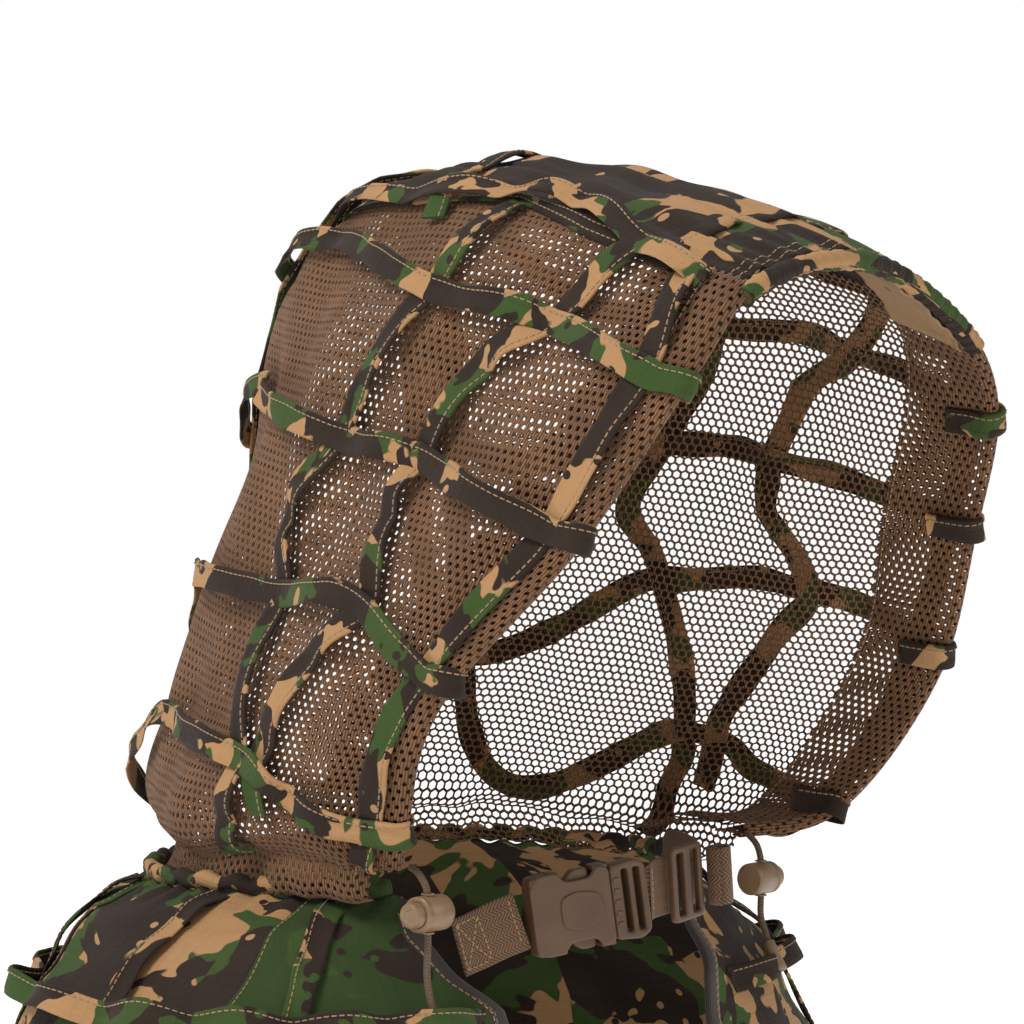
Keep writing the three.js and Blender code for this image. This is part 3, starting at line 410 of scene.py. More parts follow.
def net_mesh(name, surface, hole):
    """Net over surface(a, b, offset), a and b from 0 to 1: a real hole in every cell of an
    even lattice, laid by lengths along the surface from its middle line."""
    a = np.linspace(0, 1, GRID_ACROSS + 1)
    b = np.linspace(0, 1, GRID_UP + 1)
    grid = surface(a[None, :] + 0 * b[:, None], b[:, None] + 0 * a[None, :], 0.0)
    run = travelled_across(grid)
    middle = run[:, GRID_ACROSS // 2]
    climb = travelled(grid[:, GRID_ACROSS // 2])
    low, high = -middle.max(), (run[:, -1] - middle).max()
    stations = np.linspace(low, high, GRID_SPOTS + 1)
    table = np.array([np.interp(stations + middle[k], run[k], a) for k in range(len(b))])
    left_end, right_end = -middle, run[:, -1] - middle

    def locate(across, up):
        row = np.clip(np.interp(up, climb, np.arange(len(b))), 0, len(b) - 1.0001)
        spot = np.clip((across - low) / (high - low) * GRID_SPOTS, 0, GRID_SPOTS - 0.0001)
        i, j = row.astype(int), spot.astype(int)
        u, v = row - i, spot - j
        found = (
            table[i, j] * (1 - u) * (1 - v) + table[i + 1, j] * u * (1 - v)
            + table[i, j + 1] * (1 - u) * v + table[i + 1, j + 1] * u * v
        )
        return found, row / (len(b) - 1)

    rise = NET_PITCH * math.sqrt(3) / 2
    cells = {}
    centres = []
    for j in range(int(climb[-1] / rise) + 1):
        up = (j + 0.5) * rise
        if up > climb[-1] - 0.3 * rise:
            break
        first = np.interp(up, climb, left_end)
        last = np.interp(up, climb, right_end)
        shift = 0.5 * (j % 2)
        for i in range(math.ceil(first / NET_PITCH - shift), math.floor(last / NET_PITCH - shift) + 1):
            cells[j, i] = len(centres)
            centres.append((NET_PITCH * (i + shift), up))
    centres = np.array(centres)
    turns = np.radians(30 + 60 * np.arange(6))
    corners = np.stack([np.cos(turns), np.sin(turns)], 1) * hole
    flat = centres[:, None, :] + corners[None]
    found_a, found_b = locate(flat[..., 0].ravel(), flat[..., 1].ravel())
    outer = surface(found_a, found_b, NET_THICK / 2)
    inner = surface(found_a, found_b, -NET_THICK / 2)
    count = len(outer)
    quads, tris = [], []
    for (j, i), k in cells.items():
        east = cells.get((j, i + 1))
        north_east = cells.get((j + 1, i + j % 2))
        north_west = cells.get((j + 1, i + j % 2 - 1))
        c = 6 * k
        if east is not None:
            quads.append((c + 5, 6 * east + 3, 6 * east + 2, c))
        if north_east is not None:
            quads.append((c, 6 * north_east + 4, 6 * north_east + 3, c + 1))
        if north_west is not None:
            quads.append((c + 1, 6 * north_west + 5, 6 * north_west + 4, c + 2))
        if east is not None and north_east is not None:
            tris.append((c, 6 * east + 2, 6 * north_east + 4))
        if north_east is not None and north_west is not None:
            tris.append((c + 1, 6 * north_east + 3, 6 * north_west + 5))
    quads = np.array(quads)
    faces = np.concatenate([quads[:, [0, 1, 2]], quads[:, [0, 2, 3]], np.array(tris)])
    # The cut through the net: every edge that has a face on one side only gets a wall.
    edges = np.concatenate([faces[:, [0, 1]], faces[:, [1, 2]], faces[:, [2, 0]]])
    ordered = {(int(p), int(q)) for p, q in edges}
    rim = np.array([(p, q) for p, q in ordered if (q, p) not in ordered])
    walls = np.concatenate([
        np.c_[rim[:, 1], rim[:, 0], rim[:, 0] + count],
        np.c_[rim[:, 1], rim[:, 0] + count, rim[:, 1] + count],
    ])
    rim_order = np.lexsort((walls[:, 2], walls[:, 1], walls[:, 0]))
    every = np.concatenate([faces, faces[:, ::-1] + count, walls[rim_order]])
    uv = flat.reshape(-1, 2)
    return add_mesh(name, np.concatenate([outer, inner]), every, np.concatenate([uv, uv]), [knit])


# The cape's level rings, from the neckline to the lower hem: height at the ring's own
# middle, half width, half depth, middle, and slope.
CAPE_RINGS = [
    (3, 126, 104, 36, 0), (-10, 158, 114, 36, 0.03), (-38, 196, 122, 32, 0.04),
    (-84, 226, 130, 28, 0.02), (-140, 240, 136, 26, 0), (-230, 248, 142, 24, 0),
]
CAPE_SQUARENESS = 2.3


def neckline_below(points):
    """The place on the neckline straight in from each point of the hood's lower edge."""
    z, wide, deep, mid, _ = (value * MM for value in CAPE_RINGS[0])
    x, y = points[..., 0] / wide, (points[..., 1] - mid) / deep
    scale = (np.abs(x) ** CAPE_SQUARENESS + np.abs(y) ** CAPE_SQUARENESS) ** (-1 / CAPE_SQUARENESS)
    return np.stack([points[..., 0] * scale, mid + (points[..., 1] - mid) * scale, 0 * x + z + 3 * MM], -1)


SKIRT = 0.09  # share of a net panel that rolls over and under to its seam at the neckline
SKIRT_ROW = 0.28  # row of the hood where that roll starts
NET_FRONT = 13 * MM  # cut edge of the net, in from the face edge, inside the hem
NET_BACK = 0.998  # depth of the seam up the back


def hood_net(side, a, b, offset):
    rolled = np.clip(1 - b / SKIRT, 0, 1)
    row = SKIRT_ROW + (CROWN_EDGE - SKIRT_ROW) * np.clip((b - SKIRT) / (1 - SKIRT), 0, 1)
    if side == "left":
        row = LAST_ROW - row
    front = depth_at(row, NET_FRONT)
    depth = front + (NET_BACK - front) * a
    upper = on_hood(row, depth, offset)
    seam = neckline_below(upper)
    t = rolled[..., None]
    normal = hood_normal(row, depth)
    bulge = upper + normal * 5 * MM - np.array([0, 0, 19 * MM])
    gathers = 1.6 * MM * np.sin(2 * np.pi * (13 * a + 0.5 * np.sin(7 * a)))[..., None]
    return (1 - t) ** 2 * upper + 2 * t * (1 - t) * bulge + t * t * seam + gathers * t * (1 - t) * normal


for side in ("right", "left"):
    def net_surface(a, b, offset, side=side):
        return hood_net(side, a, b, offset)

    # The left panel hangs pulled open, so its holes stand wider.
    hole = NET_HOLE if side == "right" else NET_HOLE_OPEN
    net = net_mesh(f"hood_net_{side}_knit", net_surface, hole=hole)
    carry(net, "garment", f"hood_net_{side}")


# ---------------------------------------------------------------- face hems and hidden cords
# The net folded back on itself round the face edge: a 22 mm lap outside and a 46 mm facing
# inside, sewn down with tan thread. The elastic drawcord lies in the fold.
HEM_LAP_OUTSIDE = 22 * MM
HEM_LAP_INSIDE = 46 * MM
HEM_FOLD = 3.4 * MM  # radius of the fold
HEM_PRESSED = 1.4 * MM  # from the net's middle to the sewn-down ends of the hem

# Tan polyester thread, twisted and slightly bright.
thread, _, shader = new_material("polyester_sewing_thread", 0.7, Sheen_Weight=0.2)
shader.inputs["Base Color"].default_value = linear("#9c7d59")


def hem_section(row, travel, offset=0.0):
    """A point on the hem at this length of travel from its outer cut edge, round the fold."""
    row, travel = np.broadcast_arrays(np.asarray(row, float), np.asarray(travel, float))
    outside = HEM_LAP_OUTSIDE - HEM_FOLD
    around = math.pi * HEM_FOLD
    inset = np.where(travel < outside, HEM_LAP_OUTSIDE - travel, HEM_FOLD + travel - outside - around)
    depth = depth_at(row, np.maximum(inset, HEM_FOLD))
    side = np.where(travel < outside, 1.0, -1.0)
    lap_end = np.minimum(travel, outside + around + HEM_LAP_INSIDE - HEM_FOLD - travel)
    rise = HEM_PRESSED + (HEM_FOLD - HEM_PRESSED) * fade(lap_end, 0, 16 * MM)
    flat = on_hood(row, depth, side * (rise + offset))
    fold_depth = depth_at(row, HEM_FOLD)
    at = on_hood(row, fold_depth)
    inward = unit(on_hood(row, fold_depth + 0.01) - at)
    normal = hood_normal(row, fold_depth)
    turn = math.pi / 2 + np.clip((travel - outside) / around, 0, 1) * math.pi
    spoke = inward * np.cos(turn)[..., None] + normal * np.sin(turn)[..., None]
    folded = at + spoke * (HEM_FOLD + offset)
    in_fold = ((travel >= outside) & (travel <= outside + around))[..., None]
    return np.where(in_fold, folded, flat)


HEM_TRAVEL = HEM_LAP_OUTSIDE + HEM_LAP_INSIDE - 2 * HEM_FOLD + math.pi * HEM_FOLD


def side_row(side, row):
    return row if side == "right" else LAST_ROW - row


def spaced(points, step):
    """Even stations along a polyline: their places as fractional indices, and the length."""
    run = travelled(points)
    count = max(2, int(round(run[-1] / step)))
    return np.interp(np.linspace(0, run[-1], count + 1), run, np.arange(len(points))), run[-1]


def between(values, places):
    i = np.clip(places.astype(int), 0, len(values) - 2)
    t = (places - i)[:, None]
    return values[i] * (1 - t) + values[i + 1] * t


BOX_FACES = np.array([
    (0, 2, 1), (0, 3, 2), (4, 5, 6), (4, 6, 7), (0, 1, 5), (0, 5, 4),
    (1, 2, 6), (1, 6, 5), (2, 3, 7), (2, 7, 6), (3, 0, 4), (3, 4, 7),
])
STITCH = 3.2 * MM


def stitch_row(points, normals, rise=0.22 * MM, wide=0.6 * MM, length=STITCH):
    """Lockstitch along a line on a surface: one low block of thread for each stitch."""
    places, _ = spaced(points, length / 2)
    centres = between(points, places)
    ups = unit(between(normals, places))
    corners = []
    for k in range(0, len(centres) - 2, 2):
        start, end = centres[k], centres[k] + (centres[k + 1] - centres[k]) * 1.35
        across = unit(np.cross(end - start, ups[k])) * wide / 2
        for edge, height in ((across, ups[k] * -0.2 * MM), (across * 0.6, ups[k] * rise)):
            corners += [
                start - edge + height, end - edge + height, end + edge + height, start + edge + height
            ]
    faces = (np.arange(len(corners) // 8)[:, None, None] * 8 + BOX_FACES[None]).reshape(-1, 3)
    return np.array(corners), faces


def joined(parts):
    """Points, faces and uv of several meshes put together, with a material index for each face."""
    points, faces, uvs, indices, start = [], [], [], [], 0
    for p, f, uv, index in parts:
        points.append(p)
        faces.append(np.asarray(f) + start)
        uvs.append(np.zeros((len(p), 2)) if uv is None else uv)
        indices.append(np.full(len(f), index))
        start += len(p)
    return np.concatenate(points), np.concatenate(faces), np.concatenate(uvs), np.concatenate(indices)


def sewn(piece, rows):
    """The piece with rows of stitches joined to it, in the sewing thread."""
    mesh = piece.data
    count = len(mesh.vertices)
    points = np.empty(count * 3)
    mesh.vertices.foreach_get("co", points)
    faces = np.empty(len(mesh.loops), np.int32)
    mesh.loops.foreach_get("vertex_index", faces)
    uv = np.empty(len(mesh.loops) * 2)
    mesh.uv_layers[0].data.foreach_get("uv", uv)
    by_point = np.zeros((count, 2))
    by_point[faces] = uv.reshape(-1, 2)
    faces = faces.reshape(len(mesh.polygons), -1)
    if faces.shape[1] == 4:
        faces = np.concatenate([faces[:, :3], faces[:, [0, 2, 3]]])
    name, old = piece.name, mesh.materials[0]
    parts = [(points.reshape(-1, 3), faces, by_point, 0)]
    parts += [(p, f, None, 1) for p, f in rows]
    bpy.data.objects.remove(piece)
    bpy.data.meshes.remove(mesh)
    p, f, u, m = joined(parts)
    return add_mesh(name, p, f, u, [old, thread], m)


for side in ("right", "left"):
    def hem_surface(a, b, offset, side=side):
        return hem_section(side_row(side, 0.15 + (CROWN_EDGE - 0.2) * b), HEM_TRAVEL * a, offset)

    hem = net_mesh(f"face_hem_{side}_fold", hem_surface, hole=NET_HOLE_DOUBLED)
    seam_rows = side_row(side, np.linspace(0.2, 4.9, 160))
    seam_lines = []
    for inset, face in ((19 * MM, 1), (42 * MM, -1)):
        depth = depth_at(seam_rows, inset)
        line = on_hood(seam_rows, depth, face * 2.6 * MM)
        seam_lines.append(stitch_row(line, face * hood_normal(seam_rows, depth)))
    hem = sewn(hem, seam_lines)
    carry(hem, "garment", f"face_hem_{side}")

    rows = side_row(side, np.linspace(0.25, 4.9, 90))
    centres = on_hood(rows, depth_at(rows, HEM_FOLD))
    hidden = braided_cord(f"hem_cord_{side}_braid", centres, 2)
    carry(hidden, "garment", f"hem_cord_{side}")

# ---------------------------------------------------------------- crown panel
# Rip-stop cotton and polyester cloth, printed in a woodland pattern: tan ground, dark brown
# and green patches with lobed edges, and a few spots. Sewn to the nets along both edges.
CLOTH = 1.0 * MM


def mixed_colour(tree, factor, below, above):
    node = add_node(tree, "ShaderNodeMix", {0: factor}, data_type="RGBA")
    for socket, value in ((6, below), (7, above)):
        if isinstance(value, bpy.types.NodeSocket):
            tree.links.new(value, node.inputs[socket])
        else:
            node.inputs[socket].default_value = linear(value)
    return node.outputs[2]


PRINT_EDGE = 0.004  # softness of a printed edge, in levels of the noise


def step_above(tree, value, limit):
    ends = {0: value, 1: limit - PRINT_EDGE, 2: limit + PRINT_EDGE}
    return add_node(tree, "ShaderNodeMapRange", ends).outputs[0]


RIPSTOP = 5.5 * MM  # between the thicker threads
WEAVE = 2.9 * MM


def printed_cloth(name, ground="#a67e55", green="#35491f", dark="#281d17", green_from=0.5, dark_from=0.48,
                  patch=52, shift=0.0):
    """Matt printed cloth: ground, green over it from one level of noise, dark over both."""
    material, tree, shader = new_material(name, 0.85, Sheen_Weight=0.04, Specular_IOR_Level=0.2)
    uv = add_node(tree, "ShaderNodeUVMap").outputs["UV"]
    moved = add_node(
        tree, "ShaderNodeMapping", {"Vector": uv, "Location": (shift, 0.37 * shift, 0)}
    ).outputs[0]
    # Lobed, clean-edged patches: the finer steps of each noise cut bays and fingers in them.
    lobes = {"Detail": 2.6, "Roughness": 0.56, "Distortion": 0.35}
    aside = add_node(tree, "ShaderNodeMapping", {"Vector": moved, "Location": (0.71, 0.29, 0)}).outputs[0]
    first, second = (
        add_node(tree, "ShaderNodeTexNoise", {"Vector": where, "Scale": 1 / (size * MM), **lobes},
                 noise_dimensions="2D").outputs["Fac"]
        for where, size in ((moved, patch), (aside, patch * 0.8))
    )
    is_green = step_above(tree, first, green_from)
    is_dark = step_above(tree, second, dark_from)
    colour = mixed_colour(tree, is_green, ground, green)
    colour = mixed_colour(tree, is_dark, colour, dark)
    # A few round spots about 4 mm wide, in one cell of eight, dark on light and light on dark.
    scattered = {"Vector": moved, "Scale": 1 / (13 * MM), "Randomness": 0.8}
    spots = add_node(tree, "ShaderNodeTexVoronoi", scattered, voronoi_dimensions="2D")
    near = add_node(tree, "ShaderNodeMath", {0: spots.outputs["Distance"], 1: 0.15}, operation="LESS_THAN")
    some = add_node(tree, "ShaderNodeSeparateColor", {0: spots.outputs["Color"]})
    chosen = add_node(tree, "ShaderNodeMath", {0: some.outputs[0], 1: 0.88}, operation="GREATER_THAN")
    both = {0: near.outputs[0], 1: chosen.outputs[0]}
    spotted = add_node(tree, "ShaderNodeMath", both, operation="MULTIPLY").outputs[0]
    colour = mixed_colour(tree, spotted, colour, mixed_colour(tree, is_dark, dark, ground))
    # Worn and faded unevenly: a slow lightening over the print.
    worn = add_node(tree, "ShaderNodeTexNoise", {"Vector": moved, "Scale": 26.0, "Detail": 4.0})
    share = {0: worn.outputs["Fac"], 1: 0.35, 2: 0.75, 3: 0.0, 4: 0.02}
    lightened = add_node(tree, "ShaderNodeMapRange", share)
    colour = mixed_colour(tree, lightened.outputs[0], colour, "#c8b090")
    tree.links.new(colour, shader.inputs["Base Color"])
    # Rip-stop: a raised thread every few millimetres both ways, over the plain weave, which is
    # drawn 0.9 mm apart so that it still reads.
    axes = add_node(tree, "ShaderNodeSeparateXYZ", {0: uv})
    heights = []
    for axis in (0, 1):
        saw = add_node(
            tree, "ShaderNodeMath", {0: axes.outputs[axis], 1: RIPSTOP / 2}, operation="PINGPONG"
        )
        ridge = {0: saw.outputs[0], 1: 0.15 * MM, 2: 0.5 * MM, 3: 1.0, 4: 0.0}
        heights.append(add_node(tree, "ShaderNodeMapRange", ridge).outputs[0])
    grid = add_node(tree, "ShaderNodeMath", dict(enumerate(heights)), operation="MAXIMUM").outputs[0]
    diagonal = {"Vector": uv, "Scale": 1 / WEAVE, "Distortion": 0.6}
    weave = add_node(tree, "ShaderNodeTexWave", diagonal, bands_direction="DIAGONAL")
    total = add_node(
        tree, "ShaderNodeMath", {0: weave.outputs["Fac"], 1: 0.35, 2: grid}, operation="MULTIPLY_ADD"
    )
    crushed = {"Vector": moved, "Scale": 70.0, "Detail": 3.0, "Distortion": 0.8}
    creases = add_node(tree, "ShaderNodeTexNoise", crushed)
    soft = {"Height": creases.outputs["Fac"], "Strength": 0.5, "Distance": 2.0 * MM}
    fine = {"Height": total.outputs[0], "Strength": 0.55, "Distance": 0.25 * MM}
    crumple = add_node(tree, "ShaderNodeBump", soft)
    bump = add_node(tree, "ShaderNodeBump", {**fine, "Normal": crumple.outputs[0]})
    tree.links.new(bump.outputs["Normal"], shader.inputs["Normal"])
    return material


woodland = printed_cloth("ripstop_woodland_print")
dark_stretch = printed_cloth("ripstop_dark_stretch_of_print", green_from=0.54, dark_from=0.44)


def cloth_mesh(name, surface, across, along, thick, material, uv_shift=(0.0, 0.0)):
    """A closed sheet over surface(a, b, offset), with uv in metres along both ways."""
    a, b = np.meshgrid(np.linspace(0, 1, across + 1), np.linspace(0, 1, along + 1))
    outer, inner = surface(a, b, thick / 2), surface(a, b, -thick / 2)
    middle = (outer + inner) / 2
    u = travelled_across(middle)
    u -= u[:, -1:] / 2
    v = np.broadcast_to(travelled(middle[:, across // 2])[:, None], u.shape)
    uv = np.stack([u + uv_shift[0], v + uv_shift[1]], -1).reshape(-1, 2)
    row = across + 1
    start = (np.arange(along)[:, None] * row + np.arange(across)[None]).ravel()
    top = np.stack([start, start + 1, start + row + 1, start + row], 1)
    count = row * (along + 1)
    rim = np.concatenate([np.arange(across), np.arange(along) * row + across,
                          along * row + np.arange(across, 0, -1), np.arange(along, 0, -1) * row])
    ahead = np.roll(rim, -1)
    walls = np.stack([ahead, rim, rim + count, ahead + count], 1)
    faces = np.concatenate([top, top[:, ::-1] + count, walls])
    points = np.concatenate([outer.reshape(-1, 3), inner.reshape(-1, 3)])
    # Normals face out whichever way the surface runs.
    probe = np.cross(outer[1, 0] - outer[0, 0], outer[0, 1] - outer[0, 0])
    if np.dot(probe, outer[0, 0] - inner[0, 0]) > 0:
        faces = faces[:, ::-1]
    return add_mesh(name, points, faces, np.concatenate([uv, uv]), [material])


def finish_sheet(piece, node):
    carry(piece, "garment", node)


BRIM_DEPTH = 42 * MM


def crown_surface(a, b, offset):
    """Cloth over the top, in pleats that fan back from the brim and fade behind the crown."""
    edge = np.interp(a, (0, 0.15, 0.3, 0.5, 1), (4.72, 4.8, 4.98, 4.86, 4.8))
    row = edge + (LAST_ROW - 2 * edge) * b
    front = depth_at(row, BRIM_DEPTH - 6 * MM)
    depth = front + (0.97 - front) * a
    pleats = (
        2.6 * np.sin(2 * np.pi * (5.3 * b + 0.7 * a))
        + 1.6 * np.sin(2 * np.pi * (11.3 * b - 0.9 * a) + 1.3)
    )
    slack = (
        2.4 * np.sin(2 * np.pi * (2.1 * a + 0.8 * b))
        + 1.5 * np.sin(2 * np.pi * (6.3 * a - 1.6 * b) + 0.8)
    )
    rise = (
        (0.6 * pleats * (1 - 0.6 * a) + 0.6 * slack * fade(a, 0, 0.15))
        * MM * fade(np.minimum(b, 1 - b), 0, 0.1)
    )
    return on_hood(row, depth, rise + 1.9 * MM + offset)


crown = cloth_mesh("crown_panel_cloth", crown_surface, 72, 60, CLOTH, dark_stretch, (0.13, 0.4))
edge_a = np.linspace(0, 1, 200)
crown_seams = []
for b in (0.02, 0.05, 0.95, 0.98):
    at_b = edge_a * 0 + b
    normals = hood_normal(CROWN_EDGE + (LAST_ROW - 2 * CROWN_EDGE) * at_b, edge_a * 0.9)
    crown_seams.append(stitch_row(crown_surface(edge_a, at_b, CLOTH / 2), normals))
crown = sewn(crown, crown_seams)
finish_sheet(crown, "crown_panel")

# ---------------------------------------------------------------- brim
# A stiffened peak of the same cloth over a faded tan lining. Its front edge is a casing,
# rolled and puckered round a 2.4 mm spring wire that lets the wearer shape it.
CASING_RADIUS = 4.2 * MM
WIRE = 2.4 * MM
lining = printed_cloth(
    "faded_tan_lining", ground="#9c7d5a", green="#8f7150", dark="#7d6244", green_from=0.56, dark_from=0.6,
    patch=60
)
wire_steel, _, shader = new_material("zinc_plated_spring_wire", 0.35, Metallic=1.0)
shader.inputs["Base Color"].default_value = linear("#9a9a98")
BRIM_ROWS = (CROWN_EDGE - 0.24, LAST_ROW - CROWN_EDGE + 0.24)


def brim_surface(a, b, offset, under=False):
    row = BRIM_ROWS[0] + (BRIM_ROWS[1] - BRIM_ROWS[0]) * b
    front = depth_at(row, CASING_RADIUS)
    back = depth_at(row, BRIM_DEPTH + 2 * MM)
    depth = front + (back - front) * a
    puckers = 0.9 * np.sin(2 * np.pi * (17 * b + 0.6 * a)) + 1.2 * np.sin(2 * np.pi * (6.3 * b + 0.5))
    rise = puckers * (1 - 0.5 * a) * MM * (0.6 if under else 1)
    return on_hood(row, depth, rise + (-CASING_RADIUS if under else 1.2 * MM) + offset)


brim_top = cloth_mesh("brim_top_cloth", brim_surface, 24, 90, CLOTH, woodland, (0.31, 0.12))
line = np.linspace(0, 1, 160)
brim_normals = hood_normal(BRIM_ROWS[0] + (BRIM_ROWS[1] - BRIM_ROWS[0]) * line, line * 0 + 0.1)
brim_top = sewn(
    brim_top,
    [stitch_row(brim_surface(line * 0 + a, line, CLOTH / 2), brim_normals) for a in (0.1, 0.2, 0.93)]
)
finish_sheet(brim_top, "brim_top")
brim_under = cloth_mesh(
    "brim_lining_cloth", lambda a, b, offset: brim_surface(a, b, offset, True), 24, 90, CLOTH, lining,
    (0.8, 0.3)
)
finish_sheet(brim_under, "brim_underside")


def ring_walls(rings, sides, turned=False):
    """Triangles between neighbouring rings of points, each ring closed on itself."""
    k = np.arange(rings - 1)[:, None] * sides
    j = np.arange(sides)[None]
    ahead = (j + 1) % sides
    quads = np.stack([k + j, k + ahead, k + sides + ahead, k + sides + j], -1).reshape(-1, 4)
    if turned:
        quads = quads[:, [0, 3, 2, 1]]
    return np.concatenate([quads[:, [0, 1, 2]], quads[:, [0, 2, 3]]])


def closed_strip(rings, sides):
    """The same walls turned, with the first and the last ring filled."""
    last = (rings - 1) * sides
    ends = [(0, i + 1, i) for i in range(1, sides - 1)]
    ends += [(last, last + i, last + i + 1) for i in range(1, sides - 1)]
    return np.concatenate([ring_walls(rings, sides, turned=True), np.array(ends)])


def uv_grid(along, across):
    """uv in metres for rings of points: along the piece, and round it."""
    return np.stack(np.meshgrid(along, across, indexing="ij"), -1).reshape(-1, 2)


def tube_mesh(name, centres, radii, material, sides=12, uv_shift=0.0, ups=None):
    """A closed tube along the centres, with uv in metres and a radius for each station."""
    count = len(centres)
    heading = unit(np.gradient(centres, axis=0))
    up = np.array([0, 0, 1.0]) + 0 * heading if ups is None else ups
    side = unit(np.cross(heading, up))
    up = np.cross(side, heading)
    turns = np.linspace(0, 2 * np.pi, sides, endpoint=False)
    ring = np.cos(turns)[None, :, None] * side[:, None] + np.sin(turns)[None, :, None] * up[:, None]
    points = (centres[:, None] + ring * np.asarray(radii).reshape(count, -1, 1)).reshape(-1, 3)
    run = travelled(centres)
    uv = uv_grid(run, turns * float(np.mean(radii)) + uv_shift)
    caps = []
    for base, flip in ((0, 1), ((count - 1) * sides, 0)):
        middle = len(points) + len(caps) // sides
        for i in range(sides):
            pair = (base + (i + 1) % sides, base + i)
            caps.append((*(pair if flip else pair[::-1]), middle))
    points = np.concatenate([points, centres[[0]], centres[[-1]]])
    uv = np.concatenate([uv, [[0, 0], [run[-1], 0]]])
    faces = np.concatenate([ring_walls(count, sides), np.array(caps)])
    return add_mesh(name, points, faces, uv, [material])


rows = np.linspace(*BRIM_ROWS, 180)
edge = on_hood(rows, depth_at(rows, 0))
puckered = CASING_RADIUS * (1 + 0.07 * np.sin(rows * 61) + 0.05 * np.sin(rows * 143 + 1))
casing = tube_mesh("brim_casing_roll", edge, puckered, woodland, 14, 0.55, ups=hood_normal(rows, rows * 0))
carry(casing, "garment", "brim_casing")
inner_rows = np.linspace(BRIM_ROWS[0] + 0.08, BRIM_ROWS[1] - 0.08, 60)
wire = tube_mesh(
    "brim_wire_round", on_hood(inner_rows, depth_at(inner_rows, 0)), np.full(60, WIRE / 2), wire_steel, 8
)
carry(wire, "garment", "brim_wire")

# ---------------------------------------------------------------- garnish tapes on the hood
# Cloth tape folded in four to 12 mm, with tan stitching along one edge. Each is tacked to
# the net where it crosses another and stands off in a loop between, to hold foliage.
TAPE_WIDTH = 12 * MM
TAPE = 1.3 * MM
garnish = printed_cloth("folded_garnish_tape_print", green_from=0.51, dark_from=0.49, patch=44)
STATION = 2.6 * MM


def folded_tape(name, centres, normals, shift, seed, material=garnish, width=TAPE_WIDTH, curl=1.0):
    """A folded tape through the centres: layered edges, one of them fuller, with creases
    that wander along it, a slight twist, and a row of stitches on each face."""
    places, length = spaced(centres, STATION)
    middle = between(centres, places)
    normal = unit(between(normals, places))
    heading = unit(np.gradient(middle, axis=0))
    s = np.linspace(0, length, len(middle))

    def wander(pace, start):
        slow = np.sin(2 * np.pi * s / (pace * MM) + start + seed)
        quick = np.sin(2 * np.pi * s / (pace * 0.61 * MM) + 2.3 * start + seed)
        return slow * 0.6 + quick * 0.4

    twist = np.radians(11 * curl) * wander(93, 0.4)
    side = unit(np.cross(heading, normal))
    normal = np.cross(side, heading)
    side, normal = (side * np.cos(twist)[:, None] + normal * np.sin(twist)[:, None],
                    normal * np.cos(twist)[:, None] - side * np.sin(twist)[:, None])
    half = width / 2 * (0.93 + 0.08 * wander(41, 1.1))
    sag = 0.9 * MM * curl * wander(57, 2.0)
    outline = [(-1, -0.55), (-0.6, -0.6), (0, -0.42), (0.6, -0.7), (0.96, -0.95), (1.08, -0.35),
               (1.02, 0.5), (0.9, 0.95),
               (0.58, 0.72), (0.5, 0.42), (0, 0.4), (-0.6, 0.55), (-1, 0.5), (-1.06, 0.0)]
    ring = []
    for k, (across, high) in enumerate(outline):
        crease = 0.22 * wander(23 + 3 * k, 0.7 * k) * (abs(across) < 0.95)
        lift = (high + crease) * TAPE / 1.5 + sag * (1 - across**2)
        ring.append(middle + side * (across * half)[:, None] + normal * lift[:, None])
    points = np.stack(ring, 1).reshape(-1, 3)
    uv = uv_grid(s, np.array([a for a, _ in outline]) * width / 2) + np.array(shift)
    parts = [(points, closed_strip(len(middle), len(outline)), uv, 0)]
    for face in (1, -1):
        line = middle + side * (0.66 * half)[:, None] + normal * (face * (0.62 * TAPE) + sag * 0.56)[:, None]
        parts.append((*stitch_row(line, normal * face, 0.3 * MM, 0.6 * MM), None, 1))
    p, f, u, m = joined(parts)
    piece = add_mesh(name, p, f, u, [material, thread], m)
    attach(piece, "garment")
    return piece, (width * 2, round(length, 3))


def tacked_rise(distances, tacks, low, high):
    """Height over the net: low at each tack, up to high midway to the next one."""
    ends = np.sort(np.asarray(tacks, float))
    i = np.clip(np.searchsorted(ends, distances) - 1, 0, len(ends) - 2)
    t = np.clip((distances - ends[i]) / (ends[i + 1] - ends[i]), 0, 1)
    span = np.clip((ends[i + 1] - ends[i]) / 0.9, 0.35, 1.2)
    return low + (high - low) * span * np.sin(np.pi * t) ** 1.3


def hood_tape_path(waypoints, low, high):
    """Centres and normals of a tape through waypoints of row and depth, tacked at them."""
    w = np.array(waypoints, float)
    t = np.linspace(0, len(w) - 1, 24 * (len(w) - 1) + 1)
    padded = np.concatenate([2 * w[:1] - w[1:2], w, 2 * w[-1:] - w[-2:-1]])
    i = np.clip(t.astype(int), 0, len(w) - 2)
    u = (t - i)[:, None]
    p0, p1, p2, p3 = (padded[i + k] for k in range(4))
    path = 0.5 * (
        2 * p1 + (p2 - p0) * u
        + (2 * p0 - 5 * p1 + 4 * p2 - p3) * u**2
        + (3 * p1 - p0 - 3 * p2 + p3) * u**3
    )
    rise = tacked_rise(t, range(len(w)), low, high)
    return on_hood(path[:, 0], path[:, 1], rise), hood_normal(path[:, 0], path[:, 1])


def finish_tape(piece, flat, node):
    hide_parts(node)


